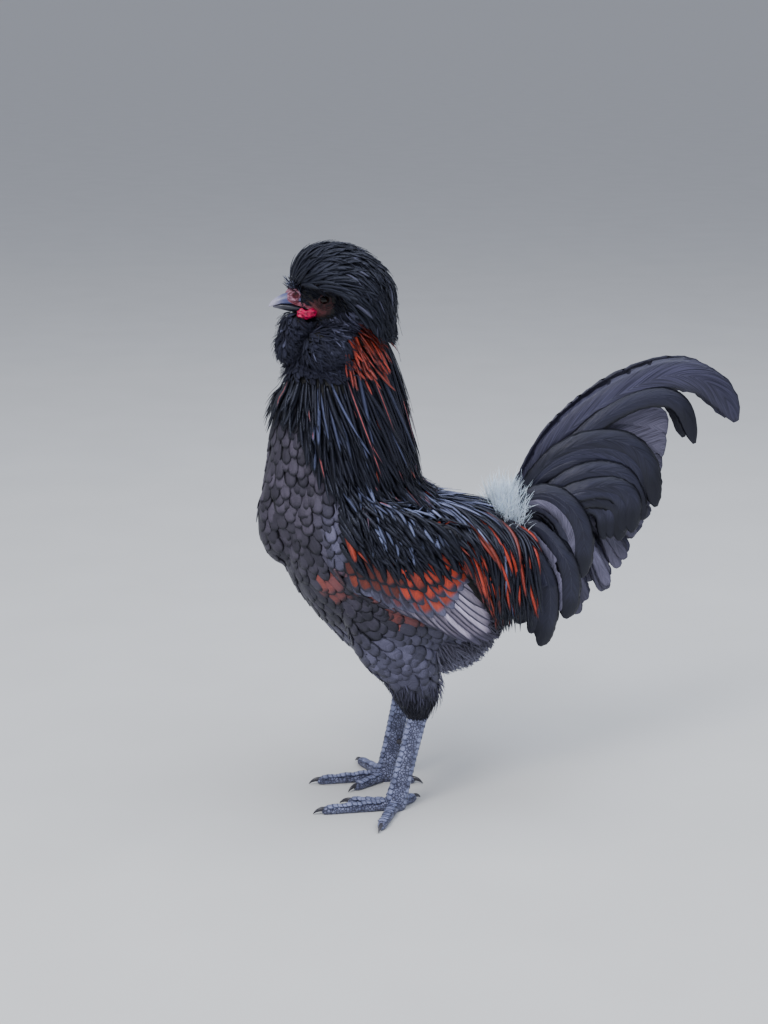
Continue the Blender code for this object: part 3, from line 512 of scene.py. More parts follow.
class SkinReader:
    """Answers where a surface lies and spreads roots over it."""

    def __init__(self, piece):
        mesh = piece.data
        self.points = np.array([v.co[:] for v in mesh.vertices])
        self.outs = np.array([v.normal[:] for v in mesh.vertices])
        self.faces = [tuple(f.vertices) for f in mesh.polygons]
        self.tree = BVHTree.FromPolygons([Vector(p) for p in self.points], self.faces)
        quads = np.array([f if len(f) == 4 else (*f, f[0]) for f in self.faces])
        corners = self.points[quads]
        cross = np.cross(corners[:, 2] - corners[:, 0], corners[:, 3] - corners[:, 1])
        areas = np.linalg.norm(cross, axis=1)
        draw = np.random.default_rng(7)
        chosen = draw.choice(len(quads), CANDIDATES, p=areas / areas.sum())
        u, v = draw.random((2, CANDIDATES, 1))
        low = corners[chosen, 0] * (1 - u) + corners[chosen, 1] * u
        high = corners[chosen, 3] * (1 - u) + corners[chosen, 2] * u
        self.candidates = low * (1 - v) + high * v

    def under(self, point):
        spot, _, index, _ = self.tree.find_nearest(point)
        out = self.outs[list(self.faces[index])].sum(axis=0)
        return spot, Vector(out).normalized()

    def scatter(self, where, spacing):
        """Places on the surface where the mask holds, no two closer than the spacing."""
        chosen = self.candidates[where(*self.candidates.T)]
        tree = KDTree(len(chosen))
        for i, place in enumerate(chosen):
            tree.insert(place, i)
        tree.balance()
        kept = np.ones(len(chosen), bool)
        for i, place in enumerate(chosen):
            if kept[i]:
                for _, j, _ in tree.find_range(place, spacing):
                    if j > i:
                        kept[j] = False
        return chosen[kept]


def guide(name, row_of, count, rows):
    """A surface for feathers to lie along, read once and then thrown away."""
    points = [row_of(i, j) for i in range(count) for j in range(rows)]
    faces = []
    for i in range(count - 1):
        for j in range(rows - 1):
            faces.append((i * rows + j, (i + 1) * rows + j, (i + 1) * rows + j + 1, i * rows + j + 1))
    mesh = bpy.data.meshes.new(name)
    mesh.from_pydata([tuple(p) for p in points], [], faces)
    piece = bpy.data.objects.new(name, mesh)
    made = SkinReader(piece)
    bpy.data.objects.remove(piece)
    bpy.data.meshes.remove(mesh)
    return made


reader = SkinReader(skin)
print("candidate roots on the skin:", len(reader.candidates))

# %% [markdown]
# ## Growing and making feathers
#
# A feather leaves the skin at its root, is laid along the flow of the plumage a short step at a
# time, and is lifted a little more at each step, so that its tip lies over the roots of the next
# ones, like a roof tile. Its body is a flat tube: a ring of points round the shaft at each step,
# with an upper and a lower face. All feathers of a region are built as one mesh, straight from
# arrays, because there are hundreds of them with only a few dozen faces each.

# %% Growing along the skin
ROOT_SINK = 0.0012


def grow(roots, flow, lengths, steps, lift, rise, seed, wander=0.12, hug=1.0, on=reader, sink=ROOT_SINK,
         curl=None):
    """Paths and facings of feathers that leave the skin at the roots and follow the flow.

    They rise from lift by about rise, each with its own yaw and height. Hug pulls back those that
    leave a hollow, and curl is how far the tips bend aside, and the seed of that.
    """
    draw = random.Random(seed)
    paths, facings = [], []
    for root, length in zip(roots, lengths):
        spot, out = on.under(Vector(root))
        yaw = draw.gauss(0, wander)
        raised = draw.uniform(0.6, 1.4)
        path, faces = [spot - out * sink], [out]
        point, heading = spot, None
        for k in range(1, steps + 1):
            wanted = Vector(flow(point))
            wanted = (wanted - out * wanted.dot(out)).normalized()
            wanted += out.cross(wanted) * yaw
            heading = wanted if heading is None else heading.lerp(wanted, 0.6)
            heading = (heading - out * heading.dot(out)).normalized()
            point = point + heading * (length / steps)
            spot, out = on.under(point)
            offset = point - spot
            height = offset.length * (1 if offset.dot(out) > 0 else -1)
            wanted_height = lift + rise * raised * k / steps
            if height > wanted_height:
                wanted_height = height + (wanted_height - height) * hug
            point = spot + out * wanted_height
            path.append(point)
            faces.append(out)
        paths.append(path)
        facings.append(faces)
    paths, facings = np.array(paths, float), np.array(facings, float)
    return curled(paths, facings, *curl) if curl else paths, facings


def curled(paths, facings, amount, seed):
    """Bends each feather to one side towards its tip."""
    draw = np.random.default_rng(seed)
    t = np.linspace(0, 1, paths.shape[1])[None, :, None]
    aside = units(np.cross(np.gradient(paths, axis=1), facings))
    return paths + aside * draw.normal(0, amount, len(paths))[:, None, None] * t**2


def ragged(place, waves, depth):
    """How far up an uneven edge reaches at this place."""
    return depth * np.abs(np.sin(waves * place))


def trimmed(paths, facings, inside):
    """Shortens each feather to the part that lies inside, keeping its count of rows."""
    rows = paths.shape[1]
    for path, facing in zip(paths, facings):
        outside = np.flatnonzero(~inside(path[:, 0], path[:, 1], path[:, 2]))
        last = rows - 1 if len(outside) == 0 else max(1.5, outside[0] - 0.5)
        at = np.linspace(0, last, rows)
        for group in (path, facing):
            group[:] = sampled(at, range(rows), group)
    return paths, facings

# %% Feather builder
# How wide the vane is at shares of its length
ROUND = (
    (0, 0.30), (0.3, 0.75), (0.5, 0.95), (0.65, 1.0), (0.78, 0.93), (0.87, 0.76), (0.94, 0.52), (1, 0.12),
)
POINTED = ((0, 0.45), (0.2, 0.85), (0.5, 1.0), (0.75, 0.80), (0.92, 0.40), (1, 0.05))
WISPY = ((0, 0.6), (0.3, 1.0), (0.7, 0.8), (0.9, 0.4), (1, 0.1))
QUILLED = ((0, 0.25), (0.15, 0.60), (0.4, 0.90), (0.75, 1.0), (0.90, 0.90), (0.965, 0.62), (1, 0.18))
# Where along a round feather its rows lie, closest together at the tip
ROUND_ROWS = (0, 0.28, 0.48, 0.64, 0.77, 0.86, 0.93, 0.975, 1)
PATCH = 0.003


def resampled(groups, rows):
    """The same paths with their rows at other shares of the length."""
    old = np.linspace(0, 1, groups.shape[1])
    right = np.clip(np.searchsorted(old, rows), 1, len(old) - 1)
    share = ((rows - old[right - 1]) / (old[right] - old[right - 1]))[None, :, None]
    return groups[:, right - 1] * (1 - share) + groups[:, right] * share


def ring_of(columns, cup, thickness, ridge):
    """Across and height of the points round a vane's section, over the top and back below."""
    top = np.linspace(-1, 1, columns + 1)
    across = np.concatenate([top, top[-2:0:-1]])
    height = -cup * across**2
    crown = ridge * np.maximum(0, 1 - np.abs(across) * columns / 2)
    lower = np.arange(len(across)) > columns
    depth = np.where(lower, -thickness, 0) + np.where(lower, -crown, crown)
    return across, height, depth


def unwrap(places, axis):
    """Each root's place on the skin, rolled off round the axis, as two numbers from 0 to 1."""
    first, second = [i for i in range(3) if i != axis]
    middle = places.mean(axis=0)
    turn = np.arctan2(places[:, second] - middle[second], places[:, first] - middle[first])
    reach = places[:, axis]
    spread = (reach - reach.min()) / max(np.ptp(reach), 1e-6)
    return 0.01 + 0.97 * np.stack([turn / (2 * math.pi) + 0.5, spread], axis=1)


def feathers(name, paths, facings, width, profile, marks, columns=2, cup=0.15, thickness=0.00025,
             axis=1, ridge=0.0, rows_at=None, fray=0.0):
    """One mesh of many feathers. Marks are each feather's ground, margin and streak colour."""
    rows_at = np.linspace(0, 1, paths.shape[1]) if rows_at is None else np.array(rows_at)
    paths, facings = resampled(paths, rows_at), resampled(facings, rows_at)
    count, rows = paths.shape[:2]
    widths = np.broadcast_to(width, count)[:, None] * line_at(rows_at, profile)[None]
    along = units(np.gradient(paths, axis=1))
    facing = units(facings - along * (facings * along).sum(axis=2, keepdims=True))
    wide = np.cross(along, facing)
    across, height, depth = ring_of(columns, cup, thickness, ridge)
    sides = len(across)
    draw = np.random.default_rng(len(name))
    frayed = 1 + fray * draw.uniform(-1, 0.6, (count, rows, sides)) * (np.abs(across) == 1)
    half = widths[:, :, None, None] / 2
    points = paths[:, :, None] + wide[:, :, None] * (across[None, None] * frayed)[..., None] * half
    raised = height[None, None, :, None] * half * 2 + depth[None, None, :, None]
    points = points + facing[:, :, None] * raised
    start = np.arange(count)[:, None, None] * rows * sides
    ring = np.arange(rows - 1)[None, :, None] * sides
    one = np.arange(sides)[None, None, :]
    two = (one + 1) % sides
    corners = (start + ring + one, start + ring + two, start + ring + sides + two, start + ring + sides + one)
    tube = np.stack(corners, -1)
    caps = np.array([(j, j + 1, sides - 2 - j, sides - 1 - j) for j in range(sides // 2 - 1)])
    first = start + caps[None, :, ::-1]
    last = start + (rows - 1) * sides + caps[None]
    faces = np.concatenate([tube.reshape(-1, 4), first.reshape(-1, 4), last.reshape(-1, 4)])
    mesh = bpy.data.meshes.new(name)
    mesh.vertices.add(count * rows * sides)
    mesh.vertices.foreach_set("co", points.ravel())
    mesh.loops.add(faces.size)
    mesh.loops.foreach_set("vertex_index", faces.ravel())
    mesh.polygons.add(len(faces))
    mesh.polygons.foreach_set("loop_start", np.arange(len(faces)) * 4)
    mesh.update(calc_edges=True)
    mesh.shade_smooth()
    shape = (count, rows, sides)
    t = rows_at[None, :, None]
    luck = draw.random(count)[:, None, None]
    for label, value in (("across", across[None, None, :]), ("along", t), ("luck", luck)):
        store(mesh, label, np.broadcast_to(value, shape).ravel())
    for label, colours in zip(("ground", "margin", "streak"), marks):
        rgba = opaque(np.broadcast_to(np.asarray(colours, float), (count, 3)))
        store(mesh, label, np.broadcast_to(rgba[:, None, None], (*shape, 4)).reshape(-1, 4))
    place = unwrap(paths[:, 0], axis)[:, None, None]
    inside = np.stack(np.broadcast_arrays((across[None, None, :] + 1) / 2, t), -1) * PATCH
    flat = np.broadcast_to(place + inside, (*shape, 2)).reshape(-1, 2)
    mesh.uv_layers.new(name="OFBake").data.foreach_set("uv", flat[faces.ravel()].ravel())
    return add_object(name, mesh)

# %% [markdown]
# ## Markings
#
# The breast is taupe grey with a dark margin round each feather, and darkens to charcoal on the
# belly; the middle of each feather is painted lighter, as a highlight. Rust touches sit below the
# wing, and the thigh turns black towards the hock. The same rules colour the skin beneath, darkened
# as painted shade, so that nothing pale shows through between feathers.

# %% Markings of breast, belly and thigh
BLACK = paint(17, 17, 25)
INK = paint(9, 9, 14)
CHARCOAL = paint(36, 33, 42)
SLATE = paint(76, 75, 95)
TAUPE = paint(54, 49, 59)
RUST = paint(150, 66, 42)
ORANGE = paint(176, 62, 36)
PALE = paint(196, 198, 222)


def body_marks(places, seed):
    """Ground, margin and streak colour of the body feathers rooted at these places; the streak is a painted
    highlight, rust red in some.
    """
    draw = np.random.default_rng(seed)
    x, y, z = places.T
    count = len(places)
    ground = mix(TAUPE, CHARCOAL, step(0.285 - z + 0.02 * draw.random(count), 0.02, 0.10))
    ground = mix(ground, BLACK, 0.7 * step(z, 0.325, 0.350))
    ground = mix(ground, SLATE, 0.7 * step(0.180 - z, 0.0, 0.03))
    shoulder = step(np.abs(x), 0.035, 0.05) * step(z, 0.22, 0.24) * step(y, -0.085, -0.065)
    ground = mix(ground, SLATE, 0.8 * shoulder)
    ground = mix(ground, BLACK, step(0.138 - z, 0.0, 0.026))
    ground = ground * draw.uniform(0.50, 1.35, count)[:, None]
    front = between(y, -0.075, -0.038) & between(z, 0.200, 0.235)
    rear = between(y, -0.030, 0.020) & between(z, 0.172, 0.198)
    rusty = (front | rear) & (np.abs(x) > 0.03) & (draw.random(count) < 0.45)
    ground = mix(ground, RUST, draw.uniform(0.05, 0.25, count) * rusty)
    # Painted highlight: the middle of each feather is painted lighter than its ground, and rust red in some.
    middle = mix(ground * 1.45, RUST, draw.uniform(0.05, 0.38, count) * rusty)
    margin = ground * (0.20 + 0.4 * step(0.17 - z, 0.0, 0.03))[:, None]
    return ground, margin, middle

# %% Body feathers
# The folded wing's lower edge, y and z
WING_EDGE = mm(((-50, 225), (-27, 197), (0, 184), (32, 162), (63, 147), (85, 150)))


def steady(*heading):
    """A flow that is the same everywhere."""
    return lambda point: heading


def body_flow(point):
    """Down the breast, slanting back along the flank, straight back under the belly."""
    back = float(step(0.30 - point.z, 0.0, 0.16))
    top = float(step(point.y, -0.01, 0.03) * step(point.z, 0.22, 0.25))
    return (0.0, 0.12 + 0.95 * back + 1.5 * top, -1.0 + 0.60 * back)


def on_body(x, y, z):
    low_neck = z < 0.378 - 0.9 * (y + 0.10)
    leg = (np.abs(np.abs(x) - LEG_APART) < 0.026) & (z < 0.130) & (y < 0.046)
    wing = (np.abs(x) > 0.045) & (z > line_at(y, WING_EDGE) + 0.012) & (y > -0.042)
    return low_neck & (z < 0.365) & ~leg & ~wing & (y < 0.10)


roots = reader.scatter(on_body, spacing=0.0064)
count = len(roots)
draw = np.random.default_rng(3)
lengths = 0.0215 + 0.003 * draw.random(count)
paths, facings = grow(roots, body_flow, lengths, steps=8, lift=0.0004, rise=0.0016, seed=5, wander=0.08)
width = 0.0132 * (0.9 + 0.2 * draw.random(count)) * (0.8 + 0.2 * step(0.33 - roots[:, 2], 0, 0.06))
marks = body_marks(roots, 4)
body = feathers("body_coat", paths, facings, width, ROUND, marks, columns=4, cup=0.10, rows_at=ROUND_ROWS)
hand_over(body, body_finish, "body_feather")

# %% Thigh feathers
def thigh_flow(point):
    return (0.0, 0.42 * float(step(point.z, 0.09, 0.14)), -1.0)


def on_leg(low, high):
    """The places on the leg between two heights."""
    return lambda x, y, z: (np.abs(np.abs(x) - LEG_APART) < 0.032) & between(z, low, high) & (y < 0.046)


roots = reader.scatter(on_leg(0.098, 0.160), spacing=0.0066)
lengths = 0.017 + 0.006 * step(roots[:, 2], 0.09, 0.14)
paths, facings = grow(roots, thigh_flow, lengths, steps=8, lift=0.0004, rise=0.0014, seed=6, wander=0.10)
marks = body_marks(roots, 8)
thighs = feathers("thigh_coat", paths, facings, 0.64 * lengths, ROUND, marks, columns=4, cup=0.10,
                  axis=2, rows_at=ROUND_ROWS)
hand_over(thighs, body_finish, "body_feather")
roots = reader.scatter(on_leg(0.080, 0.120), spacing=0.0019)
draw = np.random.default_rng(13)
roots = roots[draw.random(len(roots)) > step(roots[:, 2], 0.104, 0.122)]
count = len(roots)
lengths = np.minimum(draw.uniform(0.008, 0.015, count), np.maximum(0.005, (roots[:, 2] - 0.0765) * 1.2))
paths, facings = grow(roots, thigh_flow, lengths, steps=5, lift=0.0005, rise=0.0026, seed=14, wander=0.25)
tone = mix(paint(17, 16, 24), SLATE * 0.8, step(roots[:, 2] + 0.010 * draw.random(count), 0.104, 0.122))
hocks = feathers("hock_coat", paths, facings, 0.0019, WISPY, (tone,) * 3, axis=2, cup=0.1)
hand_over(hocks, down_finish, "body_feather")

# %% [markdown]
# Under the tail and between the thighs the coat is loose and soft: fine strands stand a little
# off the body, most of them smoke grey, some pale at the tip.

# %% Vent fluff
def on_vent(x, y, z):
    rear = (y > 0.030) & (z < 0.185) & (np.abs(x) < 0.05)
    return rear & (z < 0.150 + 0.9 * np.maximum(0, y - 0.05))


roots = reader.scatter(on_vent, spacing=0.0022)
count = len(roots)
draw = np.random.default_rng(15)
lengths = draw.uniform(0.010, 0.018, count)
paths, facings = grow(roots, steady(0.0, 0.7, -0.9), lengths, steps=6, lift=0.0012, rise=0.0050, seed=16,
                      wander=0.40)
pale = draw.random(count) * step(0.150 - roots[:, 2], 0.0, 0.02)
ground = mix(paint(74, 72, 86), paint(136, 136, 158), 0.9 * pale)
fluff = feathers("vent_fluff", paths, facings, 0.0019, WISPY, (ground,) * 3)
hand_over(fluff, down_finish, "body_feather")

# %% [markdown]
# ## The hackle
#
# From the neck hang long narrow pointed feathers, which fall as a cape over the shoulders and the
# root of the wings. They are black with a blue gloss, and some carry a thin orange streak along
# the shaft. As sheen, most of the low ones at the rear, some below the muffs and a few elsewhere are
# painted blue grey. The upper ones are rooted higher and lie over the lower ones.

# %% Hackle
# By degrees round the neck from the front: the height of the cape's edge, how far it slants back
CAPE_EDGE = (
    (0, 0.332), (28, 0.326), (45, 0.304), (62, 0.282), (85, 0.254), (105, 0.232), (150, 0.226), (180, 0.250),
)
CAPE_LIE = ((0, -0.15), (60, 0.22), (90, 0.32), (120, 0.36), (150, 0.38), (180, 0.35))
NECK_MIDDLE = -0.045


def from_front(x, y):
    """Degrees round the neck from the front."""
    return np.degrees(np.arctan2(np.abs(x), -(y - NECK_MIDDLE)))


def hackle_flow(point):
    return (0.0, float(line_at(from_front(point.x, point.y), CAPE_LIE)), -1.0)


def on_neck(x, y, z):
    edge = line_at(from_front(x, y), CAPE_EDGE)
    beard = (y < -0.046) & (z > 0.372)
    face = (z > 0.408) & (y < -0.034)
    return (z > edge + 0.026) & (z < 0.420) & ~beard & ~face & (np.abs(x) < 0.068) & (y < 0.034)


roots = reader.scatter(on_neck, spacing=0.0034)
x, y, z = roots.T
count = len(roots)
angle = from_front(x, y)
edge = line_at(angle, CAPE_EDGE)
draw = np.random.default_rng(11)
share = np.clip((z - edge - 0.026) / (0.415 - edge - 0.026), 0, 1)
tips = edge + share * 0.085 + draw.uniform(-0.014, 0.008, count)
lengths = np.clip((z - tips) * 1.12, 0.026, 0.095)
patch = (z > 0.380) & between(y, -0.052, -0.016)
bright = (patch & (draw.random(count) < 0.86)) | ((angle > 80) & (draw.random(count) < 0.015))
lengths = np.where(bright, draw.uniform(0.016, 0.036, count), lengths)
paths, facings = grow(roots, hackle_flow, lengths, steps=11, lift=0.0012, rise=0.0060, seed=12, wander=0.08,
                      hug=0.5, curl=(0.0028, 13))
fleck = draw.random(count) < 0.05 + 0.06 * step(angle, 80, 130)
# Painted sheen: most low feathers at the rear, some below the muff and a few others are painted blue grey, as
# sheen on the black.
below_muff = (z > 0.345) & between(angle, 45, 85)
low_rear = (share < 0.34) & (angle > 100)
painted_sheen = draw.random(count) < 0.05 + 0.28 * below_muff + 0.85 * low_rear
warm = mix(RUST * 0.35, ORANGE * 0.9, draw.random(count))
ground = mix(BLACK, warm, 0.8 * bright)
gloss = mix(paint(92, 98, 132), paint(130, 138, 176), low_rear)
ground = mix(ground, gloss, draw.uniform(0.05 + 0.05 * low_rear, 0.60, count) * (painted_sheen & ~bright))
streak = mix(ground * 1.3, mix(ORANGE, PALE, 0.10), 0.65 * fleck)
streak = mix(streak, warm * 1.3, 0.85 * bright)
width = 0.0042 * draw.uniform(0.5, 1.3, count) * (1 - 0.15 * bright)
hackle = feathers("hackle_coat", paths, facings, width, POINTED, (ground, INK, streak), axis=2, cup=0.10)
hand_over(hackle, hackle_finish, "hackle", "neck")

# %% [markdown]
# ## The crest
#
# The crest springs from a knob on the skull. Its feathers are combed back: they rise over the
# brow, sweep along the sides towards the rear and fall down behind the head. They are laid along
# a dome-shaped guide, which is the outer form of the crest, and end where the guide ends.

# %% Crest
CREST_MIDDLE = np.array((0.0, -0.0400, 0.4375))
CREST_SIZE = np.array((0.0410, 0.0425, 0.0385))
CREST_LEAN = 0.0100
CREST_COLUMNS, CREST_ROWS = 60, 24
CREST_ROW_ANGLE = 6
CREST_BACK = -0.032
CREST_EDGE = mm((
    (-86, 443), (-75, 441.2), (-62, 440), (-52, 438.5), (-46, 432), (-40, 423), (-31, 412), (-19, 403),
    (-6, 396), (4, 390),
))


def crest_point(turn, row):
    """The crest's dome, its top forward of its waist, hanging straight below."""
    angle = math.radians(2 + row * CREST_ROW_ANGLE)
    spin = turn * 2 * math.pi / CREST_COLUMNS
    side = math.sin(min(angle, math.pi / 2))
    x, y = math.cos(spin) * side, math.sin(spin) * side
    z = math.cos(angle) if angle < math.pi / 2 else -1.1 * (angle - math.pi / 2)
    return CREST_MIDDLE + CREST_SIZE * (x, y, z) - (0, CREST_LEAN * max(0, z), 0)


def crest_flow(point):
    """Up over the brow, back along the sides, down behind the head."""
    back = min(1, max(0, (point.y + 0.085) / 0.085))
    height = min(1, max(0, (point.z - 0.435) / 0.04))
    return (0.0, 1.15 - 0.9 * back**2, 0.9 * (1 - back) ** 2 * (0.3 + height) - 0.18 - 1.5 * back**2)


def in_crest(x, y, z):
    return z > line_at(y, CREST_EDGE) + ragged(x, 9000, 0.004)


def on_dome(x, y, z):
    return in_crest(x, y, z - 0.002 - 0.014 * (y > CREST_BACK)) & (z > 0.402)


dome = guide("crest_guide", lambda i, j: crest_point(-i, j), CREST_COLUMNS + 1, CREST_ROWS)
roots = dome.scatter(on_dome, spacing=0.0024)
draw = np.random.default_rng(22)
count = len(roots)
hanging = roots[:, 1] > CREST_BACK
lengths = draw.uniform(0.018, 0.046, count)
paths, facings = grow(roots, crest_flow, lengths, steps=9, lift=-0.0010, rise=0.0034, seed=23, wander=0.20,
                      on=dome, sink=0.004, curl=(0.0030, 24))
loose = (paths, facings)
paths, facings = trimmed(paths.copy(), facings.copy(), in_crest)
paths, facings = [np.where(hanging[:, None, None], a, b) for a, b in zip(loose, (paths, facings))]
# A copy of every third feather, drawn in towards the middle, fills the crest from inside
inner = CREST_MIDDLE + (paths[::3] - CREST_MIDDLE) * (0.88, 0.88, 0.90)
paths, facings = np.concatenate([paths, inner]), np.concatenate([facings, facings[::3]])
count = len(paths)
# Painted glint: a few crest feathers are painted pale grey, as glints of light on the black.
glint = draw.random(count) < 0.06
ground = mix(paint(14, 15, 25), paint(84, 84, 104), 0.6 * glint)
ground = ground * (draw.uniform(0.6, 1.3, count) * (1 - 0.35 * step(paths[:, 0, 1], -0.045, -0.02)))[:, None]
width = 0.0031 * draw.uniform(0.45, 1.5, count)
marks = (ground, ground * 0.6, ground * 1.5)
crest = feathers("crest_feathers", paths, facings, width, POINTED, marks, axis=2, cup=0.12)
hand_over(crest, crest_finish, "crest_feather", "crest")

# %% [markdown]
# A few long wisps part from the crest behind the head, and a tiny tuft of bristles stands up
# where the bill meets the brow.

# %% Crest wisps and brow tuft
def strand(rows, start, lean, curl=(0, 0, 0)):
    """A hair that leaves its start, leans and curls."""
    start, lean, curl = np.array((start, lean, curl))
    return [start + lean * t + curl * t * t for t in np.linspace(0, 1, rows)]


WISP_COUNT, TUFT_COUNT = 60, 110
draw = random.Random(27)
paths, facings, tones = [], [], []
for _ in range(WISP_COUNT):
    x = draw.uniform(-0.030, 0.030)
    start = (x, -0.016 + draw.uniform(-0.010, 0.006), draw.uniform(0.420, 0.462))
    lean = (x * 0.25, draw.uniform(0.010, 0.021), draw.uniform(-0.044, -0.020))
    paths.append(strand(8, start, lean, (0.0, draw.uniform(-0.008, 0.0), -0.006)))
    facings.append([(x * 20, 1.0, 0.5)] * 8)
    tones.append(paint(18, 18, 28))
for _ in range(TUFT_COUNT):
    x = draw.gauss(0, 0.0045)
    start = (x, -0.0775 + draw.uniform(-0.004, 0.004), 0.4385 + draw.uniform(-0.001, 0.003))
    paths.append(strand(8, start, (x * 0.8, draw.uniform(-0.009, 0.000), draw.uniform(0.003, 0.011))))
    facings.append([(0.3, -1.0, 0.2)] * 8)
    # Painted glints: about a third of the tuft's bristles are painted pale blue grey.
    tones.append(paint(120, 128, 160) if draw.random() < 0.30 else paint(20, 20, 30))
wisps = feathers("crest_wisps", np.array(paths), np.array(facings), 0.0012, WISPY, (np.array(tones),) * 3,
                 axis=2)
hand_over(wisps, crest_finish, "crest_feather")

# %% [markdown]
# ## Beard and muffs
#
# Under the bill hangs a full beard, and a muff covers each cheek: short soft feathers that curl,
# charcoal black, with grey ones behind the eye. Two layers make them: small round feathers give
# the cushion its body, and finer strands between them give it its soft edge.

# %% Beard and muffs
# The line where the muff meets the face, y and z
MUFF_RIM = mm(((-79, 422.5), (-76, 415), (-62, 416), (-52, 419.5), (-45, 425), (-30, 429), (-20, 422)))


def beard_flow(point):
    """Down under the bill, back over the cheeks."""
    cheek = float(step(abs(point.x), 0.008, 0.02))
    return (0.25 * math.copysign(cheek, point.x), -0.1 + 1.0 * cheek, -1.0 + 0.25 * cheek)


def on_beard(x, y, z):
    front = (y < -0.060) & (z < 0.421)
    muff = (np.abs(x) > 0.007) & (y < -0.046 + 1.2 * np.maximum(0, z - 0.405))
    return (front | muff) & between(z, 0.374, line_at(y, MUFF_RIM))


def puff(name, spacing, length, width, profile, rise, seed):
    """One layer of the beard and muffs, as a left and a right piece."""
    roots = reader.scatter(on_beard, spacing)
    count = len(roots)
    draw = np.random.default_rng(seed)
    lengths = draw.uniform(*length, count)
    paths, facings = grow(roots, beard_flow, lengths, steps=6, lift=0.0010, rise=rise, seed=seed,
                          wander=0.40, hug=0.8, curl=(0.0020, seed))
    cheek = (roots[:, 2] > 0.404) & (roots[:, 1] > -0.058)
    grey = draw.uniform(0.2, 0.8, count) * (draw.random(count) < np.where(cheek, 0.50, 0.02))
    ground = mix(paint(32, 33, 49), paint(118, 120, 150), grey)
    ground = ground * draw.uniform(0.75, 1.2, count)[:, None]
    wide = width * draw.uniform(0.7, 1.3, count)
    pieces = []
    for word, half in (("left", roots[:, 0] >= 0), ("right", roots[:, 0] < 0)):
        pieces.append(feathers(f"{name}_{word}", paths[half], facings[half], wide[half], profile,
                               (ground[half],) * 3, axis=2, cup=0.10, thickness=0.0002))
    return pieces


plumes = puff("muff_feathers", 0.0026, (0.008, 0.013), 0.0052, ROUND, 0.0028, 31)
hand_over(plumes[0], down_finish, "crest_feather", "muff_left", "beard")
hand_over(plumes[1], down_finish, "crest_feather", "muff_right")
for fuzz in puff("muff_fuzz", 0.0017, (0.009, 0.015), 0.0011, WISPY, 0.0046, 33):
    hand_over(fuzz, down_finish, "crest_feather")

# %% [markdown]
# Short bristly feathers cover the head between the crest, the bare skin round the eye and the
# muffs.

# %% Head bristles
def on_head(x, y, z):
    bare = ((y + 0.0640) / 0.0112) ** 2 + ((z - 0.4256) / 0.0068) ** 2 < 1
    socket = np.hypot(y - EYE_CENTRE[1], z - EYE_CENTRE[2]) < 0.0064
    return between(z, 0.410, 0.455) & between(y, -0.080, 0.0) & ~bare & ~socket & (np.abs(x) > 0.003)


roots = reader.scatter(on_head, spacing=0.0017)
count = len(roots)
draw = np.random.default_rng(36)
lengths = draw.uniform(0.004, 0.008, count)
paths, facings = grow(roots, steady(0.0, 1.0, -0.35), lengths, steps=4, lift=0.0002, rise=0.0014, seed=37,
                      wander=0.25)
bristles = feathers("head_bristles", paths, facings, 0.0015, WISPY, (paint(20, 20, 28),) * 3, axis=2)
hand_over(bristles, crest_finish, "crest_feather")

# %% [markdown]
# ## Folded wings
#
# Each folded wing lies flat on the flank. Its long flight feathers show as a pale triangle at the
# rear, and rows of coverts overlap them like shingles, orange red with grey and black margins.

# %% Wings
def wing_face(y, z, lift):
    """Where the folded wing's outer face lies, lifted, and which way it faces."""
    middle = line_at(y, [row[:2] for row in WING])
    bend = WING_BENDS[0] if y < 0 else WING_BENDS[1]
    x = float(wing_side(y)) - WING_ROUNDING * (z - middle) ** 2 + lift
    return x, (1.0, 2 * bend * y, 2 * WING_ROUNDING * (z - middle))


GREY_EDGE = paint(112, 112, 138)
# First and last root, line of the tips, count, width, lift, ground from front to rear, margin
WING_ROWS = (
    (
        mm(((-46, 222), (32, 240))),
        mm(((-8, 186), (12, 175), (34, 161), (62, 148), (84, 150), (77, 173), (66, 195), (57, 213))),
        26, 0.0115, 0.0018, (paint(128, 118, 134), paint(184, 174, 196)), paint(74, 70, 88),
    ),
    (
        mm(((-44, 226), (34, 242))),
        mm(((-34, 198), (-10, 186), (14, 178), (34, 178), (48, 192), (56, 212))),
        14, 0.0145, 0.0034, (SLATE * 0.7, mix(ORANGE, RUST, 0.5)), mix(GREY_EDGE, SLATE, 0.6),
    ),
    (
        mm(((-46, 232), (32, 248))),
        mm(((-38, 204), (-12, 196), (12, 189), (30, 191), (44, 204), (52, 224))),
        13, 0.0140, 0.0044, (RUST * 0.55, ORANGE), SLATE * 0.5,
    ),
    (
        mm(((-48, 240), (28, 254))),
        mm(((-41, 213), (-14, 206), (10, 200), (28, 204), (40, 216), (47, 234))),
        14, 0.0130, 0.0054, (RUST * 0.35, ORANGE * 0.8), BLACK,
    ),
)
WING_SHINGLE = math.radians(9)
WING_SAG = 0.0035
WING_RAGGED = 0.0020
WING_SEED = 40


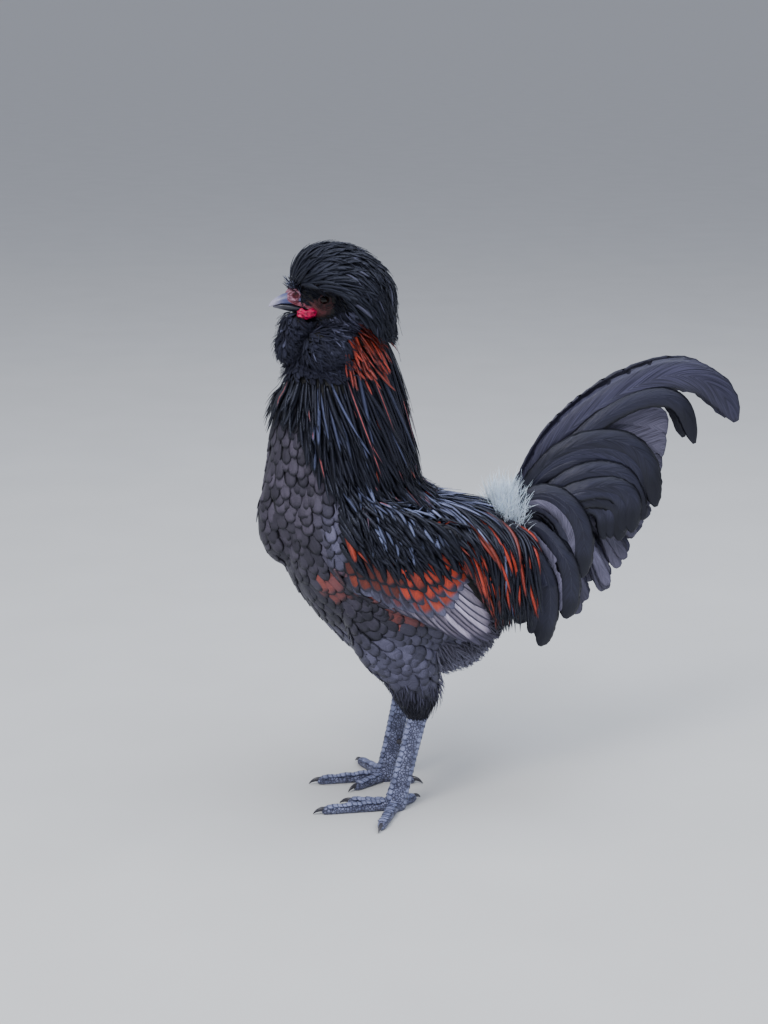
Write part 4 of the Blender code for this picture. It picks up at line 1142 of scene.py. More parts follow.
def wing_row(side, roots, tips, count, lift, seed):
    """Paths and facings of one row of a folded wing, shingled so that each vane's rear edge is free."""
    draw = random.Random(seed)
    tip_line = smooth_path([(y, z, 0) for y, z in tips], count - 1)
    paths, facings = [], []
    for i in range(count):
        root = [a + (b - a) * i / (count - 1) for a, b in zip(*roots)]
        tip = tip_line[i][:2] + [draw.uniform(-WING_RAGGED, WING_RAGGED) for _ in range(2)]
        path, faces = [], []
        for t in np.linspace(0, 1, 13):
            y = root[0] + (tip[0] - root[0]) * t
            z = root[1] + (tip[1] - root[1]) * t - WING_SAG * math.sin(math.pi * t)
            x, facing = wing_face(y, z, lift * min(1, 1.6 * t + 0.1) + 0.0004 * (i % 2))
            path.append((side * x, y, z))
            faces.append((side * facing[0], facing[1], facing[2]))
        shaft = Vector(np.array(path[-1]) - np.array(path[0])).normalized()
        turn = Matrix.Rotation(-side * WING_SHINGLE, 3, shaft)
        paths.append(path)
        facings.append([tuple(turn @ Vector(face)) for face in faces])
    return np.array(paths), np.array(facings)


def wing_rows(side):
    """Paths, facings, widths and marks of the long rows of one wing."""
    parts = []
    for row, (ends, tips, count, width, lift, (front, rear), margin) in enumerate(WING_ROWS):
        paths, facings = wing_row(side, ends, tips, count, lift, WING_SEED + row)
        draw = np.random.default_rng(WING_SEED + row)
        ground = mix(front, rear, step(np.linspace(0, 1, count) + draw.uniform(-0.18, 0.18, count), 0.3, 0.6))
        ground = ground * draw.uniform(0.70, 1.15, count)[:, None]
        parts.append((paths, facings, np.full(count, width), ground, np.tile(margin, (count, 1))))
    paths, facings, width, ground, margin = [np.concatenate(group) for group in zip(*parts)]
    return paths, facings, width, (ground, margin, ground * 1.25)


WING_STEPS = (0, 0.2, 0.4, 0.55, 0.68, 0.78, 0.86, 0.92, 0.96, 0.985, 1)
for side, word in SIDES.items():
    paths, facings, width, marks = wing_rows(side)
    wing = feathers(f"wing_feathers_{word}", paths, facings, width, ROUND, marks, columns=6, cup=0.05,
                    rows_at=WING_STEPS, fray=0.06)
    hand_over(wing, wing_finish, "wing_feather", f"wing_{word}")

# %% [markdown]
# Where the wing joins the body its smallest coverts are narrow and black and spill over the upper
# edge of the orange rows. They grow on the skin of the shoulder like the hackle, so that the cape,
# the wing and the mantle run into one another without a gap. A few at the rear are rust red.

# %% Shoulder of the wing
# The lower edge of the lesser coverts, y and z
SHOULDER_EDGE = mm(((-50, 240), (-16, 235), (8, 232), (26, 237), (38, 248), (43, 254)))


def on_shoulder(x, y, z):
    return (np.abs(x) > 0.036) & between(y, -0.054, 0.034) & between(z, line_at(y, SHOULDER_EDGE), 0.290)


roots = reader.scatter(on_shoulder, spacing=0.0034)
count = len(roots)
draw = np.random.default_rng(51)
lengths = draw.uniform(0.024, 0.038, count)
paths, facings = grow(roots, steady(0.0, 0.62, -0.90), lengths, steps=9, lift=0.0036, rise=0.0042, seed=52,
                      wander=0.11, curl=(0.0024, 53))
y, z = roots[:, 1], roots[:, 2]
warm = between(z, 0.261, 0.266) & between(y, -0.002, 0.024) & (draw.random(count) < 0.80)
warm = warm | (draw.random(count) < 0.015)
# Painted sheen: a few high coverts are painted blue grey, as sheen on the black.
sheen = (draw.random(count) < 0.06 * step(z, 0.250, 0.270)) & ~warm
ground = mix(BLACK, mix(RUST, ORANGE, 0.5), 0.85 * warm)
ground = mix(ground, paint(90, 96, 128), 0.4 * sheen)
width = 0.0054 * draw.uniform(0.5, 1.3, count)
marks = (ground, INK, ground * 1.3)
coverts = feathers("lesser_coverts", paths, facings, width, POINTED, marks, cup=0.10)
hand_over(coverts, hackle_finish, "wing_feather")

# %% [markdown]
# ## Mantle and saddle
#
# From the base of the neck to the root of the tail long pointed feathers cover the back. Near the
# middle line they lie straight back. At the sides they bend down over the wing and hang past its
# rear edge. Their guide is an arch over the back with straight sides.

# %% Mantle and saddle
SADDLE_ARCH = mm((
    (20, 66, 206, 64), (50, 68, 202, 60), (75, 60, 202, 53), (100, 49, 202, 42), (130, 44, 202, 35),
))
# First place, step and count of the guide's points, down over the arch and along it
ARCH_FIRST, ARCH_STEP, ARCH_COUNT = (-0.16, -0.02), (0.004, 0.005), (81, 36)
# The saddle's hanging edge, y and z
SADDLE_EDGE = mm(((0, 238), (35, 229), (55, 196), (75, 158), (120, 147)))


def arch_at(y):
    places, *columns = zip(*SADDLE_ARCH)
    return [np.interp(y, places, column) for column in columns]


def arch_point(run, y):
    """A point on the arch over the back, run down over it from the middle line."""
    wide, middle, tall = arch_at(y)
    quarter = math.pi / 4 * (wide + tall)
    turn = min(abs(run) / quarter, 1) * math.pi / 2
    drop = max(0, abs(run) - quarter)
    return (math.copysign(math.sin(turn) * wide, run), y, middle + math.cos(turn) * tall - drop)


def mantle_flow(point):
    """Straight back along the middle line, down and back at the sides."""
    side = float(step(abs(point.x), 0.008, 0.042))
    rear = 0.62 - 0.32 * float(step(point.y, 0.06, 0.11))
    return (math.copysign(0.9 * side, point.x), 1 - (1 - rear) * side, -0.22 - 0.9 * side)


def on_back(x, y, z):
    return between(y, -0.010, 0.094) & (z > 0.222) & (np.abs(x) > 0.010 * (y > 0.07))


def in_saddle(x, y, z):
    inside = z > line_at(y, SADDLE_EDGE) + ragged(y, 7000, 0.014)
    return inside & (y < 0.119) & ((y < 0.096) | (np.abs(x) > 0.022))


def back_point(i, j):
    return arch_point(ARCH_FIRST[0] + ARCH_STEP[0] * i, ARCH_FIRST[1] + ARCH_STEP[1] * j)


back = guide("back_guide", back_point, *ARCH_COUNT)
roots = back.scatter(on_back, spacing=0.0031)
draw = np.random.default_rng(61)
count = len(roots)
rear = step(roots[:, 1], 0.015, 0.050)
lengths = draw.uniform(0.70, 1.1, count) * (0.036 + 0.064 * rear)
paths, facings = grow(roots, mantle_flow, lengths, steps=13, lift=0.0006, rise=0.0048, seed=62, wander=0.11,
                      on=back, sink=0.006, curl=(0.0030, 63))
paths, facings = trimmed(paths, facings, in_saddle)
y, z = roots[:, 1], roots[:, 2]
chance = 0.62 * step(y, 0.016, 0.026) * (1 - 0.72 * step(y, 0.046, 0.068)) * (z < 0.258)
orange = draw.random(count) < chance
# Painted sheen: many feathers high on the front of the mantle and a few elsewhere are painted blue grey, as
# sheen on the black.
sheen = (draw.random(count) < 0.08 + 0.75 * (z > 0.262) * (1 - step(y, 0.018, 0.048))) & ~orange
warm = mix(RUST * 0.6, ORANGE, draw.random(count))
ground = mix(BLACK, warm, 0.75 * orange)
ground = mix(ground, paint(124, 130, 166), draw.uniform(0.1, 0.95, count) * sheen)
width = 0.0042 * draw.uniform(0.6, 1.3, count) * (1 + 0.3 * orange)
marks = (ground, INK, ground * 1.35)
saddle = feathers("saddle_coat", paths, facings, width, POINTED, marks, cup=0.10)
hand_over(saddle, hackle_finish, "hackle", "saddle")

# %% [markdown]
# ## The tail
#
# The main tail feathers stand on edge as a fan and end bluntly. Over them arch the sickles and
# coverts, which start at the tail's root, rise and fall over to the rear in a hook. Each covert is
# drawn once and repeated a little smaller and turned, some of them tilted, so that the arches
# overlap like the real ones. A broad vane gets many steps and columns and a ridge for its shaft.

# %% Tail
BLUNT = ((0, 0.25), (0.15, 0.60), (0.4, 0.90), (0.85, 1.0), (0.95, 0.92), (0.985, 0.70), (1, 0.35))
# Tail feathers that stand in a fan: line of y and z, width
FAN = mm((
    (((106, 238), (135, 285), (185, 318), (242, 314)), 36),
    (((106, 237), (138, 276), (188, 304), (240, 296)), 36),
    (((106, 236), (142, 268), (190, 289), (236, 276)), 32),
    (((106, 234), (145, 258), (190, 268), (227, 248)), 30),
    (((106, 232), (145, 250), (185, 252), (218, 226)), 28),
    (((106, 230), (142, 240), (178, 236), (206, 206)), 28),
    (((106, 227), (138, 230), (168, 218), (188, 184)), 26),
    (((106, 225), (132, 220), (154, 200), (168, 168)), 24),
))
# Sickles and coverts from the middle outwards: distance from the middle plane, width, line of y and z
TAIL_ARCS = mm((
    (11.5, 29, ((106, 235), (118, 270), (140, 305), (172, 332), (205, 350), (240, 360), (270, 354),
                (290, 337), (300, 318))),
    (14, 18, ((107, 232), (135, 280), (170, 318), (205, 338), (234, 342), (252, 330), (262, 301))),
    (17.2, 21, ((104, 240), (116, 270), (140, 296), (172, 308), (200, 304), (220, 285), (228, 248))),
    (20.2, 18, ((108, 232), (130, 262), (158, 280), (185, 282), (204, 270), (217, 238))),
    (23.5, 19, ((110, 228), (135, 255), (160, 267), (188, 269), (204, 257), (205, 228))),
    (27.5, 21, ((104, 246), (118, 264), (136, 264), (152, 250), (161, 228), (160, 192))),
    (31.5, 20, ((104, 240), (124, 236), (140, 218), (149, 196), (149, 172), (145, 158))),
    (34.5, 18, ((104, 232), (118, 218), (128, 196), (131, 170), (127, 148), (122, 136))),
))
TAIL_STEPS = 60
TAIL_DARK = paint(21, 21, 32)
TAIL_MIDDLE = paint(39, 38, 53)
TAIL_LIGHT = paint(92, 89, 108)


def tail_plans():
    """Side, distance out, width, line, ground, margin and tilt of every tail feather."""
    draw = random.Random(71)
    plans = []
    for side in SIDES:
        for i, (line, width) in enumerate(FAN):
            ground = TAIL_LIGHT * draw.uniform(0.45, 0.70) if i < 4 else TAIL_MIDDLE
            width = width if i < 3 else 0.018
            plans.append((side, 0.0020 + 0.0011 * i, width, line, ground, ground * 1.5, 0.0))
            for copy in range(4 if i > 2 else 0):
                *start, (end_y, end_z) = line
                moved = (*start, (end_y + draw.uniform(-0.012, 0.003), end_z + draw.uniform(-0.014, 0.006)))
                ground = TAIL_LIGHT * draw.uniform(0.20, 0.75)
                out = 0.0026 + 0.0011 * i + 0.0009 * copy
                wide = draw.uniform(0.009, 0.014)
                plans.append((side, out, wide, moved, ground, ground * 1.3, draw.uniform(-0.1, 0.3)))
        for i, (x, width, line) in enumerate(TAIL_ARCS):
            dark = TAIL_MIDDLE if i < 1 else TAIL_DARK
            plans.append((side, x, width, line, dark, dark * (1.3 if i == 0 else 0.4), 0.12 if i else 0.0))
            for copy in range(1, 5 if i > 1 else 1):
                shrink = 1 - 0.055 * copy - draw.uniform(0, 0.04)
                root_y, root_z = line[0]
                bend = draw.uniform(-0.06, 0.06)
                moved = [
                    (root_y + (y - root_y) * shrink - bend * (z - root_z),
                     root_z + (z - root_z) * shrink + bend * (y - root_y) - 0.002 * copy)
                    for y, z in line
                ]
                light = draw.random() < 0.12
                base, low, high = (TAIL_LIGHT, 0.35, 0.60) if light else (TAIL_DARK, 0.4, 2.0)
                ground = base * draw.uniform(low, high)
                margin = ground * (1.2 if light else 0.3)
                wide = width * draw.uniform(0.75, 1.0)
                plans.append((side, x - 0.0007 * copy, wide, moved, ground, margin, draw.uniform(-0.1, 0.4)))
    return plans


plans = tail_plans()
paths, facings = [], []
for side, x, _, line, _, _, tilt in plans:
    rows = smooth_path([(0.0, y, z) for y, z in line], TAIL_STEPS)
    rows[:, 0] = side * x * np.interp(np.linspace(0, 1, TAIL_STEPS + 1), (0, 0.5), (0.5, 1))
    paths.append(rows)
    facings.append([(side, 0.0, tilt)] * len(rows))
paths, facings = np.array(paths), np.array(facings)
widths, grounds, margins = [np.array([plan[k] for plan in plans]) for k in (2, 4, 5)]
fanned = np.array([len(plan[3]) == len(FAN[0][0]) for plan in plans])
for name, some, profile in (("tail_feathers", fanned, BLUNT), ("tail_sickles_and_coverts", ~fanned, QUILLED)):
    marks = (grounds[some], margins[some], grounds[some] * 1.8)
    tail = feathers(name, paths[some], facings[some], widths[some], profile, marks, columns=8,
                    cup=0.14 if profile is QUILLED else 0.05, thickness=0.0003, ridge=0.0002, fray=0.07)
    hand_over(tail, tail_finish, "tail_feather", *(["tail"] if name == "tail_feathers" else []))

# %% [markdown]
# At the root of the tail a tuft of pale down shows between the saddle and the coverts: many fine
# wisps that stand up and curl back.

# %% Down at the tail's root
DOWN_COUNT = 2600
draw = random.Random(81)
paths, facings = [], []
for _ in range(DOWN_COUNT):
    x = draw.gauss(0, 0.0075)
    start = (x, 0.098 + draw.uniform(-0.008, 0.014), 0.238 + draw.uniform(-0.016, 0.010))
    lean = (x * 0.5, draw.uniform(-0.012, 0.004), draw.uniform(0.016, 0.036))
    curl = (draw.gauss(0, 0.005), draw.uniform(-0.004, 0.012), draw.uniform(-0.008, 0.002))
    paths.append(strand(6, start, lean, curl))
    facings.append([(1.0, draw.uniform(-0.5, 0.5), 0.0)] * 6)
white = (np.array((0.78, 0.89, 1.0)),) * 3
down = feathers("tail_down", np.array(paths), np.array(facings), 0.0006, WISPY, white, axis=2,
                thickness=0.0002)
hand_over(down, down_finish, "tail_feather")

# %% [markdown]
# ## Bill, eyes and bare skin
#
# The bill is a short horn cone with a hooked tip: slate blue with a pale end. It is lofted
# through the stations of the solid, but with many more rings, so that its curve is clean.

# %% Bill
BILL_UPPER = mm((
    (-64, 432.5, 8.6, 6.5), (-76, 432.8, 7.2, 6), (-86.5, 431.8, 5.6, 5.4), (-90.5, 431, 4.7, 4.6),
    (-94.5, 429.8, 3.5, 3.5), (-98.5, 427.8, 1.8, 2), (-100, 426.7, 0.8, 1),
))
BILL_LOWER = mm((
    (-64, 424, 7.6, 4.2), (-78, 425, 6.6, 3.2), (-84, 425.8, 5.5, 3.3), (-90.5, 426.8, 3.7, 2.7),
    (-96, 427, 1.5, 1.5),
))
# The line where the closed bill meets, y and z
BITE = mm(((-101, 426.2), (-98.5, 427), (-90.5, 429.2), (-82.3, 428.6), (-74.1, 426.6), (-64, 423.5)))


def horn_finish(name, base, tip):
    made = Finish(name, Coat_Weight=0.2, Coat_Roughness=0.3)
    place = made.place()
    y = made.node("ShaderNodeSeparateXYZ", {}, {0: place}, "Y")
    stretch = {0: place, 1: (900.0, 90.0, 900.0)}
    streaks = made.noise(made.node("ShaderNodeVectorMath", {"operation": "MULTIPLY"}, stretch), 1.0, 3.0)
    tipward = (y * -1).soft(0.088 - SHIFT[1], 0.099 - SHIFT[1])
    colour = made.colour(tipward, base, tip)
    dark = made.colour(1.0, colour, (0.3, 0.3, 0.36), "MULTIPLY")
    colour = made.colour(streaks * 0.8, colour, dark)
    made.show(colour, streaks * 0.3 + 0.25)
    made.bump(streaks, 0.25, 0.0002)
    return made.material


def bill_half(name, stations, half):
    """A cone of horn, cut to the line of the bite and tucked in a little there."""
    points, faces = loft(down_the_middle(stations), rings=44)
    bite = line_at(points[:, 1], BITE) + half * 0.00022
    over = half * (bite - points[:, 2]) > 0
    points[:, 2] = np.where(over, bite, points[:, 2])
    points[:, 0] *= np.where(over, 0.90, 1.0)
    return new_piece(name, points, faces)


upper_horn = horn_finish("upper_bill_horn", paint(92, 98, 146), paint(196, 192, 212))
lower_horn = horn_finish("lower_bill_horn", paint(44, 46, 60), paint(110, 108, 124))
hand_over(bill_half("upper_bill", BILL_UPPER, 1), upper_horn, "bill", "bill_upper")
hand_over(bill_half("lower_bill", BILL_LOWER, -1), lower_horn, "bill", "bill_lower")

# %% [markdown]
# Each eye is a sphere with its front turned outwards. The colour runs in rings from a black pupil
# through a dark brown iris, and a clear coat gives the wet shine.

# %% Eyes
EYE_RADIUS = 0.0048
PUPIL, IRIS = 0.0024, 0.0038


def eye_finish():
    made = Finish("eye_surface", Coat_Weight=0.30, Coat_Roughness=0.03, Specular_IOR_Level=0.25, IOR=1.36)
    ring = made.attribute("ring")
    fibres = made.noise(made.place(), 3000.0, 3.0)
    iris = made.colour(fibres, paint(46, 20, 12), paint(20, 9, 7))
    colour = made.colour(ring.soft(PUPIL * 0.92, PUPIL), (0.002, 0.002, 0.002), iris)
    colour = made.colour(ring.soft(IRIS * 0.9, IRIS * 1.05), colour, paint(12, 8, 8))
    made.show(colour, fibres * 0.05 + 0.12)
    return made.material


eye_surface = eye_finish()
for side, word in SIDES.items():
    bpy.ops.object.select_all(action="DESELECT")
    bpy.ops.mesh.primitive_uv_sphere_add(segments=48, ring_count=24, radius=EYE_RADIUS)
    eye = bpy.context.active_object
    eye.name = f"eyeball_{word}"
    bpy.ops.object.shade_smooth()
    gaze = Vector((side, -0.25, 0.05)).normalized()
    ahead = [(v.co, v.co.dot(gaze)) for v in eye.data.vertices]
    off_axis = [(co - gaze * reach).length + EYE_RADIUS * (reach < 0) for co, reach in ahead]
    store(eye.data, "ring", off_axis)
    eye.data.transform(Matrix.Translation(Vector(EYE_CENTRE * MIRRORED[side])))
    hand_over(eye, eye_surface, "eye", f"eye_{word}")

# %% [markdown]
# The bare skin of the face is dark red brown round the eye and bright red at the gape. Two rolls
# of skin make the lids, a curled rim lies over each nostril, and the small wattle is a cluster of
# soft bulbs melted together.

# %% Face
WATTLE_BULBS = mm((
    ((9.6, -75.2, 421.2), (2.7, 4.2, 4.6)), ((10.4, -71.2, 420.5), (2.6, 4.2, 4)),
    ((11, -67.2, 422), (2.5, 4.2, 4.2)),
))


FLESH = {"Subsurface_Weight": 0.06, "Subsurface_Radius": (0.004, 0.0012, 0.0008), "Subsurface_Scale": 0.4}


def flesh(made, first, second, rough, scales=(1400.0, 420.0), pored=0.3, depth=0.0006):
    """Two colours in soft folds, under fine pores."""
    pores, folds = made.noise(made.place(), scales[0], 3.0), made.noise(made.place(), scales[1])
    made.show(made.colour(folds.soft(0.3, 0.7), first, second), pores * 0.2 + rough)
    made.bump(pores * pored + folds, 0.7, depth)
    return made.material


def nostril_finish():
    """Pink at the rim, dark red in the pit, which is painted dark as the shade of its hollow. Ring is 0 in
    the middle of the pit and 1 at its edge.
    """
    made = Finish("nostril_skin", **FLESH)
    folds = made.noise(made.place(), 520.0)
    outer = made.colour(folds.soft(0.36, 0.64), paint(176, 128, 148), paint(98, 42, 58))
    # Painted shade: the pit is painted near black red, as the shade inside the nostril.
    pit = made.colour(folds.soft(0.36, 0.64), paint(30, 7, 15), paint(96, 24, 40))
    made.show(made.colour(made.attribute("ring").soft(0.7, 1.0), pit, outer), folds * 0.2 + 0.36)
    made.bump(folds, 0.6, 0.0008)
    return made.material


red_flesh = flesh(Finish("wattle_skin", **FLESH), paint(226, 10, 92), paint(122, 4, 46), 0.26)
pink_flesh = flesh(Finish("gape_skin", **FLESH), paint(150, 92, 108), paint(104, 24, 44), 0.40)
lid_flesh = flesh(Finish("lid_skin", **FLESH), paint(82, 42, 46), paint(30, 15, 19), 0.45)


def ring_path(centre, radii, tilt, first, last, thick, side):
    """A roll along part of an ellipse that lies flat against the side of the head."""
    path = []
    for angle in np.radians(np.linspace(first, last, 13)):
        y = centre[1] + radii[0] * math.cos(angle)
        z = centre[2] + radii[1] * math.sin(angle)
        x = centre[0] + tilt[0] * (y - centre[1]) + tilt[1] * (z - centre[2])
        path.append((side * x, y, z, thick, thick))
    return loft(path, sides=12, rings=26)


LID_CENTRE = (EYE_CENTRE[0] + 0.0031, EYE_CENTRE[1], EYE_CENTRE[2] - 0.0004)
rolls = []
for side in SIDES:
    # The upper and the lower lid, in degrees round the eye, then three creases below them
    for ends in ((4, 176), (184, 356)):
        rolls.append(ring_path(LID_CENTRE, (0.0047, 0.0039), (0.25, 0.0), *ends, 0.0007, side))
    for k, thick in enumerate((0.00055, 0.00050, 0.00045)):
        reach = 0.0058 + 0.0015 * k
        rolls.append(ring_path(LID_CENTRE, (reach, reach - 0.0008), (0.25, -0.12), 200, 335, thick, side))
lids = joined("lids", rolls)
hand_over(lids, lid_flesh, "face_skin")
# Folds of skin from the nostril back to the wattle: the topmost one's line, then how far lower and
# how thick each is, and how both change along the line
GAPE_FOLD = mm((
    (5.2, -86.2, 432.6), (6.8, -80, 430.2), (8.4, -73.8, 428), (10, -68, 425.8), (11.4, -64, 423.6),
))
FOLDS = mm(((0, 0.8), (1.3, 0.6), (-1.3, 0.6)))
FOLD_CHANGE = ((0.6, 0.5), (1.1, 1.0), (0.8, 0.8), (1.1, 1.2), (0.5, 1.0))
folds = []
for side in SIDES:
    for lower, thick in FOLDS:
        line = []
        for (x, y, z), (swell, drop) in zip(GAPE_FOLD, FOLD_CHANGE):
            line.append((side * x, y, z - lower * drop, thick * swell, thick * swell))
        folds.append(loft(line, sides=12, rings=30))
gape = joined("gape_folds", folds)
hand_over(gape, pink_flesh, "face_skin")
for side, word in SIDES.items():
    bulbs = [ball(middle * MIRRORED[side], size) for middle, size in WATTLE_BULBS]
    wattle = joined(f"wattle_folds_{word}", bulbs)
    melt(wattle, voxel=0.0004, rounds=8)
    for vertex in wattle.data.vertices:
        y, z = vertex.co.y * 1100, vertex.co.z * 1100
        vertex.co += vertex.normal * 0.0004 * math.sin(1.6 * z + 0.9 * y + math.sin(y))
    hand_over(wattle, red_flesh, "wattle", f"wattle_{word}")
NOSE = np.array((0.0048, -0.0804, 0.4356))
NOSE_SIZE = (0.0036, 0.0060, 0.0056)
PIT = np.array((0.0082, -0.0798, 0.4362))
PIT_SIZE = (0.0036, 0.0031)
PIT_DEPTH = 0.0009
noses = [ball(NOSE * MIRRORED[side], NOSE_SIZE) for side in SIDES]
for side in SIDES:
    noses.append(ring_path(PIT - (0.0007, 0, 0), (0.0042, 0.0040), (0.10, -0.30), 40, 290, 0.0008, side))
nostrils = joined("nostril_rims", noses)
melt(nostrils, voxel=0.00035, rounds=3)
ring = []
for vertex in nostrils.data.vertices:
    off = math.hypot((vertex.co.y - PIT[1]) / PIT_SIZE[0], (vertex.co.z - PIT[2]) / PIT_SIZE[1])
    off += 3 * (abs(vertex.co.x) < 0.003)
    ring.append(off)
    vertex.co.x -= math.copysign(PIT_DEPTH * max(0.0, 1 - off * off), vertex.co.x)
store(nostrils.data, "ring", ring)
hand_over(nostrils, nostril_finish(), "face_skin")

# %% [markdown]
# The skin takes the colours of the coat above it, darkened to a third and to near black from the
# neck up as painted shade between the feathers, and the face its own reds. They are stored on its
# vertices, and the finish breaks them up with folds and pores.

# %% Skin colours
def skin_finish():
    depths = (0.003, 0.001, 0.0008)
    made = Finish("bird_skin", Subsurface_Weight=0.05, Subsurface_Radius=depths, Subsurface_Scale=0.5)
    ground = made.attribute("ground", "Color")
    dark = made.colour(1.0, ground, (0.45, 0.40, 0.40), "MULTIPLY")
    return flesh(made, ground, dark, 0.45, scales=(1300.0, 500.0), pored=0.5, depth=0.0009)


places = reader.points
coat, _, _ = body_marks(places, 9)
x, y, z = places.T
# Painted shade: under the feathers the skin is a third as bright as the coat, and near black from the neck
# up.
tone = mix(coat * 0.3, INK, step(z, 0.27, 0.31))
bare = ((y + 0.0640) / 0.0125) ** 2 + ((z - 0.4256) / 0.0078) ** 2
tone = mix(tone, paint(88, 36, 42), 1 - step(bare, 0.4, 1.1))
gape = np.hypot((y + 0.070) / 0.009, (z - 0.4230) / 0.005)
tone = mix(tone, paint(130, 20, 42), 1 - step(gape, 0.4, 1.1))
store(skin.data, "ground", opaque(tone))
hand_over(skin, skin_finish(), "face_skin", "torso", "head", "thigh_left", "thigh_right")

# %% [markdown]
# ## Shanks, toes and claws
#
# The shank is a tapered post that leans forward. Rows of horny plates overlap down its front and
# back, with small round scales between them. Plates are made by the feather builder, short, wide
# and curved round the leg. The toes carry one row of broad plates each.

# %% Feet
PAD_Y = {LEFT: -0.003, RIGHT: 0.004}
HOCK_Y = {LEFT: 0.0172, RIGHT: 0.0204}
HOCK_HEIGHT = 0.086
PAD_HEIGHT = 0.005
# How far each toe's end lies out from the leg and ahead of the pad
TOE_NAMES = ("inner", "middle", "outer", "hind")
TOES = {
    LEFT: dict(zip(TOE_NAMES, mm(((-16.5, -34.5), (-1, -60), (43, -21), (-14, 18))))),
    RIGHT: dict(zip(TOE_NAMES, mm(((-20, -30), (1, -58), (41, -14), (-13, 20))))),
}
TOE_BASE, TOE_END = 0.0054, 0.0039
CLAW_LENGTH = 0.0105
# Share of the way down, half width and half depth
SHANK = (
    (-0.06, 0.0070, 0.0084), (0.2, 0.0062, 0.0080), (0.5, 0.0058, 0.0079), (0.8, 0.0064, 0.0084),
    (1.0, 0.0084, 0.0096),
)


def leg_finish(name, **constants):
    """A finish with its place, fine grain and broad patches, which scales and hide share."""
    made = Finish(name, **constants)
    place = made.place()
    return made, place, made.noise(place, 900.0, 3.0), made.noise(place, 150.0).soft(0.3, 0.7)


def scale_finish():
    made, _, grain, patches = leg_finish("shank_scale", Coat_Weight=0.10, Coat_Roughness=0.4)
    edge = made.attribute("across").size().larger(made.attribute("along")).soft(0.78, 1.0)
    colour = made.colour(patches, paint(96, 102, 134), paint(156, 164, 206))
    # Painted shade: the edge of each plate is darkened, as the shade in the gap between plates.
    colour = made.colour(edge * 0.8, colour, paint(46, 48, 68))
    colour = made.colour(grain * 0.45, colour, paint(60, 62, 84))
    made.show(colour, grain * 0.25 + 0.34)
    made.bump(grain, 0.3, 0.0004)
    return made.material


def hide_finish():
    made, place, grain, patches = leg_finish("shank_hide")
    scales = {"Vector": place, "Scale": 430.0}
    cells = made.node("ShaderNodeTexVoronoi", {"feature": "DISTANCE_TO_EDGE"}, scales, "Distance")
    raised = cells.soft(0.0, 0.16)
    light = made.colour(patches, paint(92, 96, 126), paint(150, 156, 192))
    # Painted shade: the grooves between the small scales are painted dark, as shade.
    colour = made.colour(raised, paint(54, 56, 78), light)
    made.show(made.colour(grain * 0.45, colour, paint(64, 66, 90)), grain * 0.2 + 0.38)
    made.bump(raised, 0.9, 0.0009)
    return made.material


scale_surface = scale_finish()
hide_surface = hide_finish()
LIMB_STEPS, PLATED_STEPS = 60, 57
PLATE_OVERLAP = 1.3


def foot_rows(side):
    """The shank's sections, then each toe's."""
    shank = []
    for share, wide, deep in SHANK:
        y = HOCK_Y[side] + (PAD_Y[side] - HOCK_Y[side]) * share
        z = HOCK_HEIGHT + (PAD_HEIGHT - HOCK_HEIGHT) * share
        shank.append((side * LEG_APART, y, z, wide, deep))
    toes = {}
    for name, (out, forward) in TOES[side].items():
        start = np.array((side * LEG_APART, PAD_Y[side]))
        reach = np.array((side * out, forward))
        rows = []
        for k, share in enumerate(np.linspace(0.0, 1.0, 9)):
            radius = (TOE_BASE + (TOE_END - TOE_BASE) * share) * (1.04 if k % 2 else 0.93)
            spot = start + reach * share
            rows.append((*spot, radius * 0.90, radius, radius))
        toes[name] = rows
    return shank, toes


def plates(rows, count, turns, size, across, lift=0.0007):
    """Overlapping plates along a limb's rows, at these angles round it."""
    fine = smooth_path(rows, LIMB_STEPS)
    centres = fine[:, :3]
    along = units(np.gradient(centres, axis=0))
    wide, deep = square_to(along, across)
    columns = np.hstack([fine, wide, deep])
    draw = random.Random(count)
    paths, facings, widths = [], [], []
    for degrees, share, stagger in turns:
        for i in range(count):
            turn = math.radians(degrees + draw.uniform(-4, 4))
            slip = draw.uniform(-0.12, 0.12)
            path, faces = [], []
            for t in (0.0, 0.33, 0.66, 1.0):
                k = min(LIMB_STEPS, max(0.0, (i + slip + stagger + t * PLATE_OVERLAP) / count * PLATED_STEPS))
                at = sampled(k, range(LIMB_STEPS + 1), columns)
                a, b = at[5:8] * math.cos(turn), at[8:11] * math.sin(turn)
                out = units(a / at[3] + b / at[4])
                path.append(at[:3] + a * at[3] + b * at[4] + out * (lift * (t - 0.25)))
                faces.append(out)
            paths.append(path)
            facings.append(faces)
            widths.append(size * share * draw.uniform(0.9, 1.1))
    return np.array(paths), np.array(facings), np.array(widths)


PLATE = ((0, 0.85), (0.33, 1.0), (0.66, 0.95), (1, 0.6))
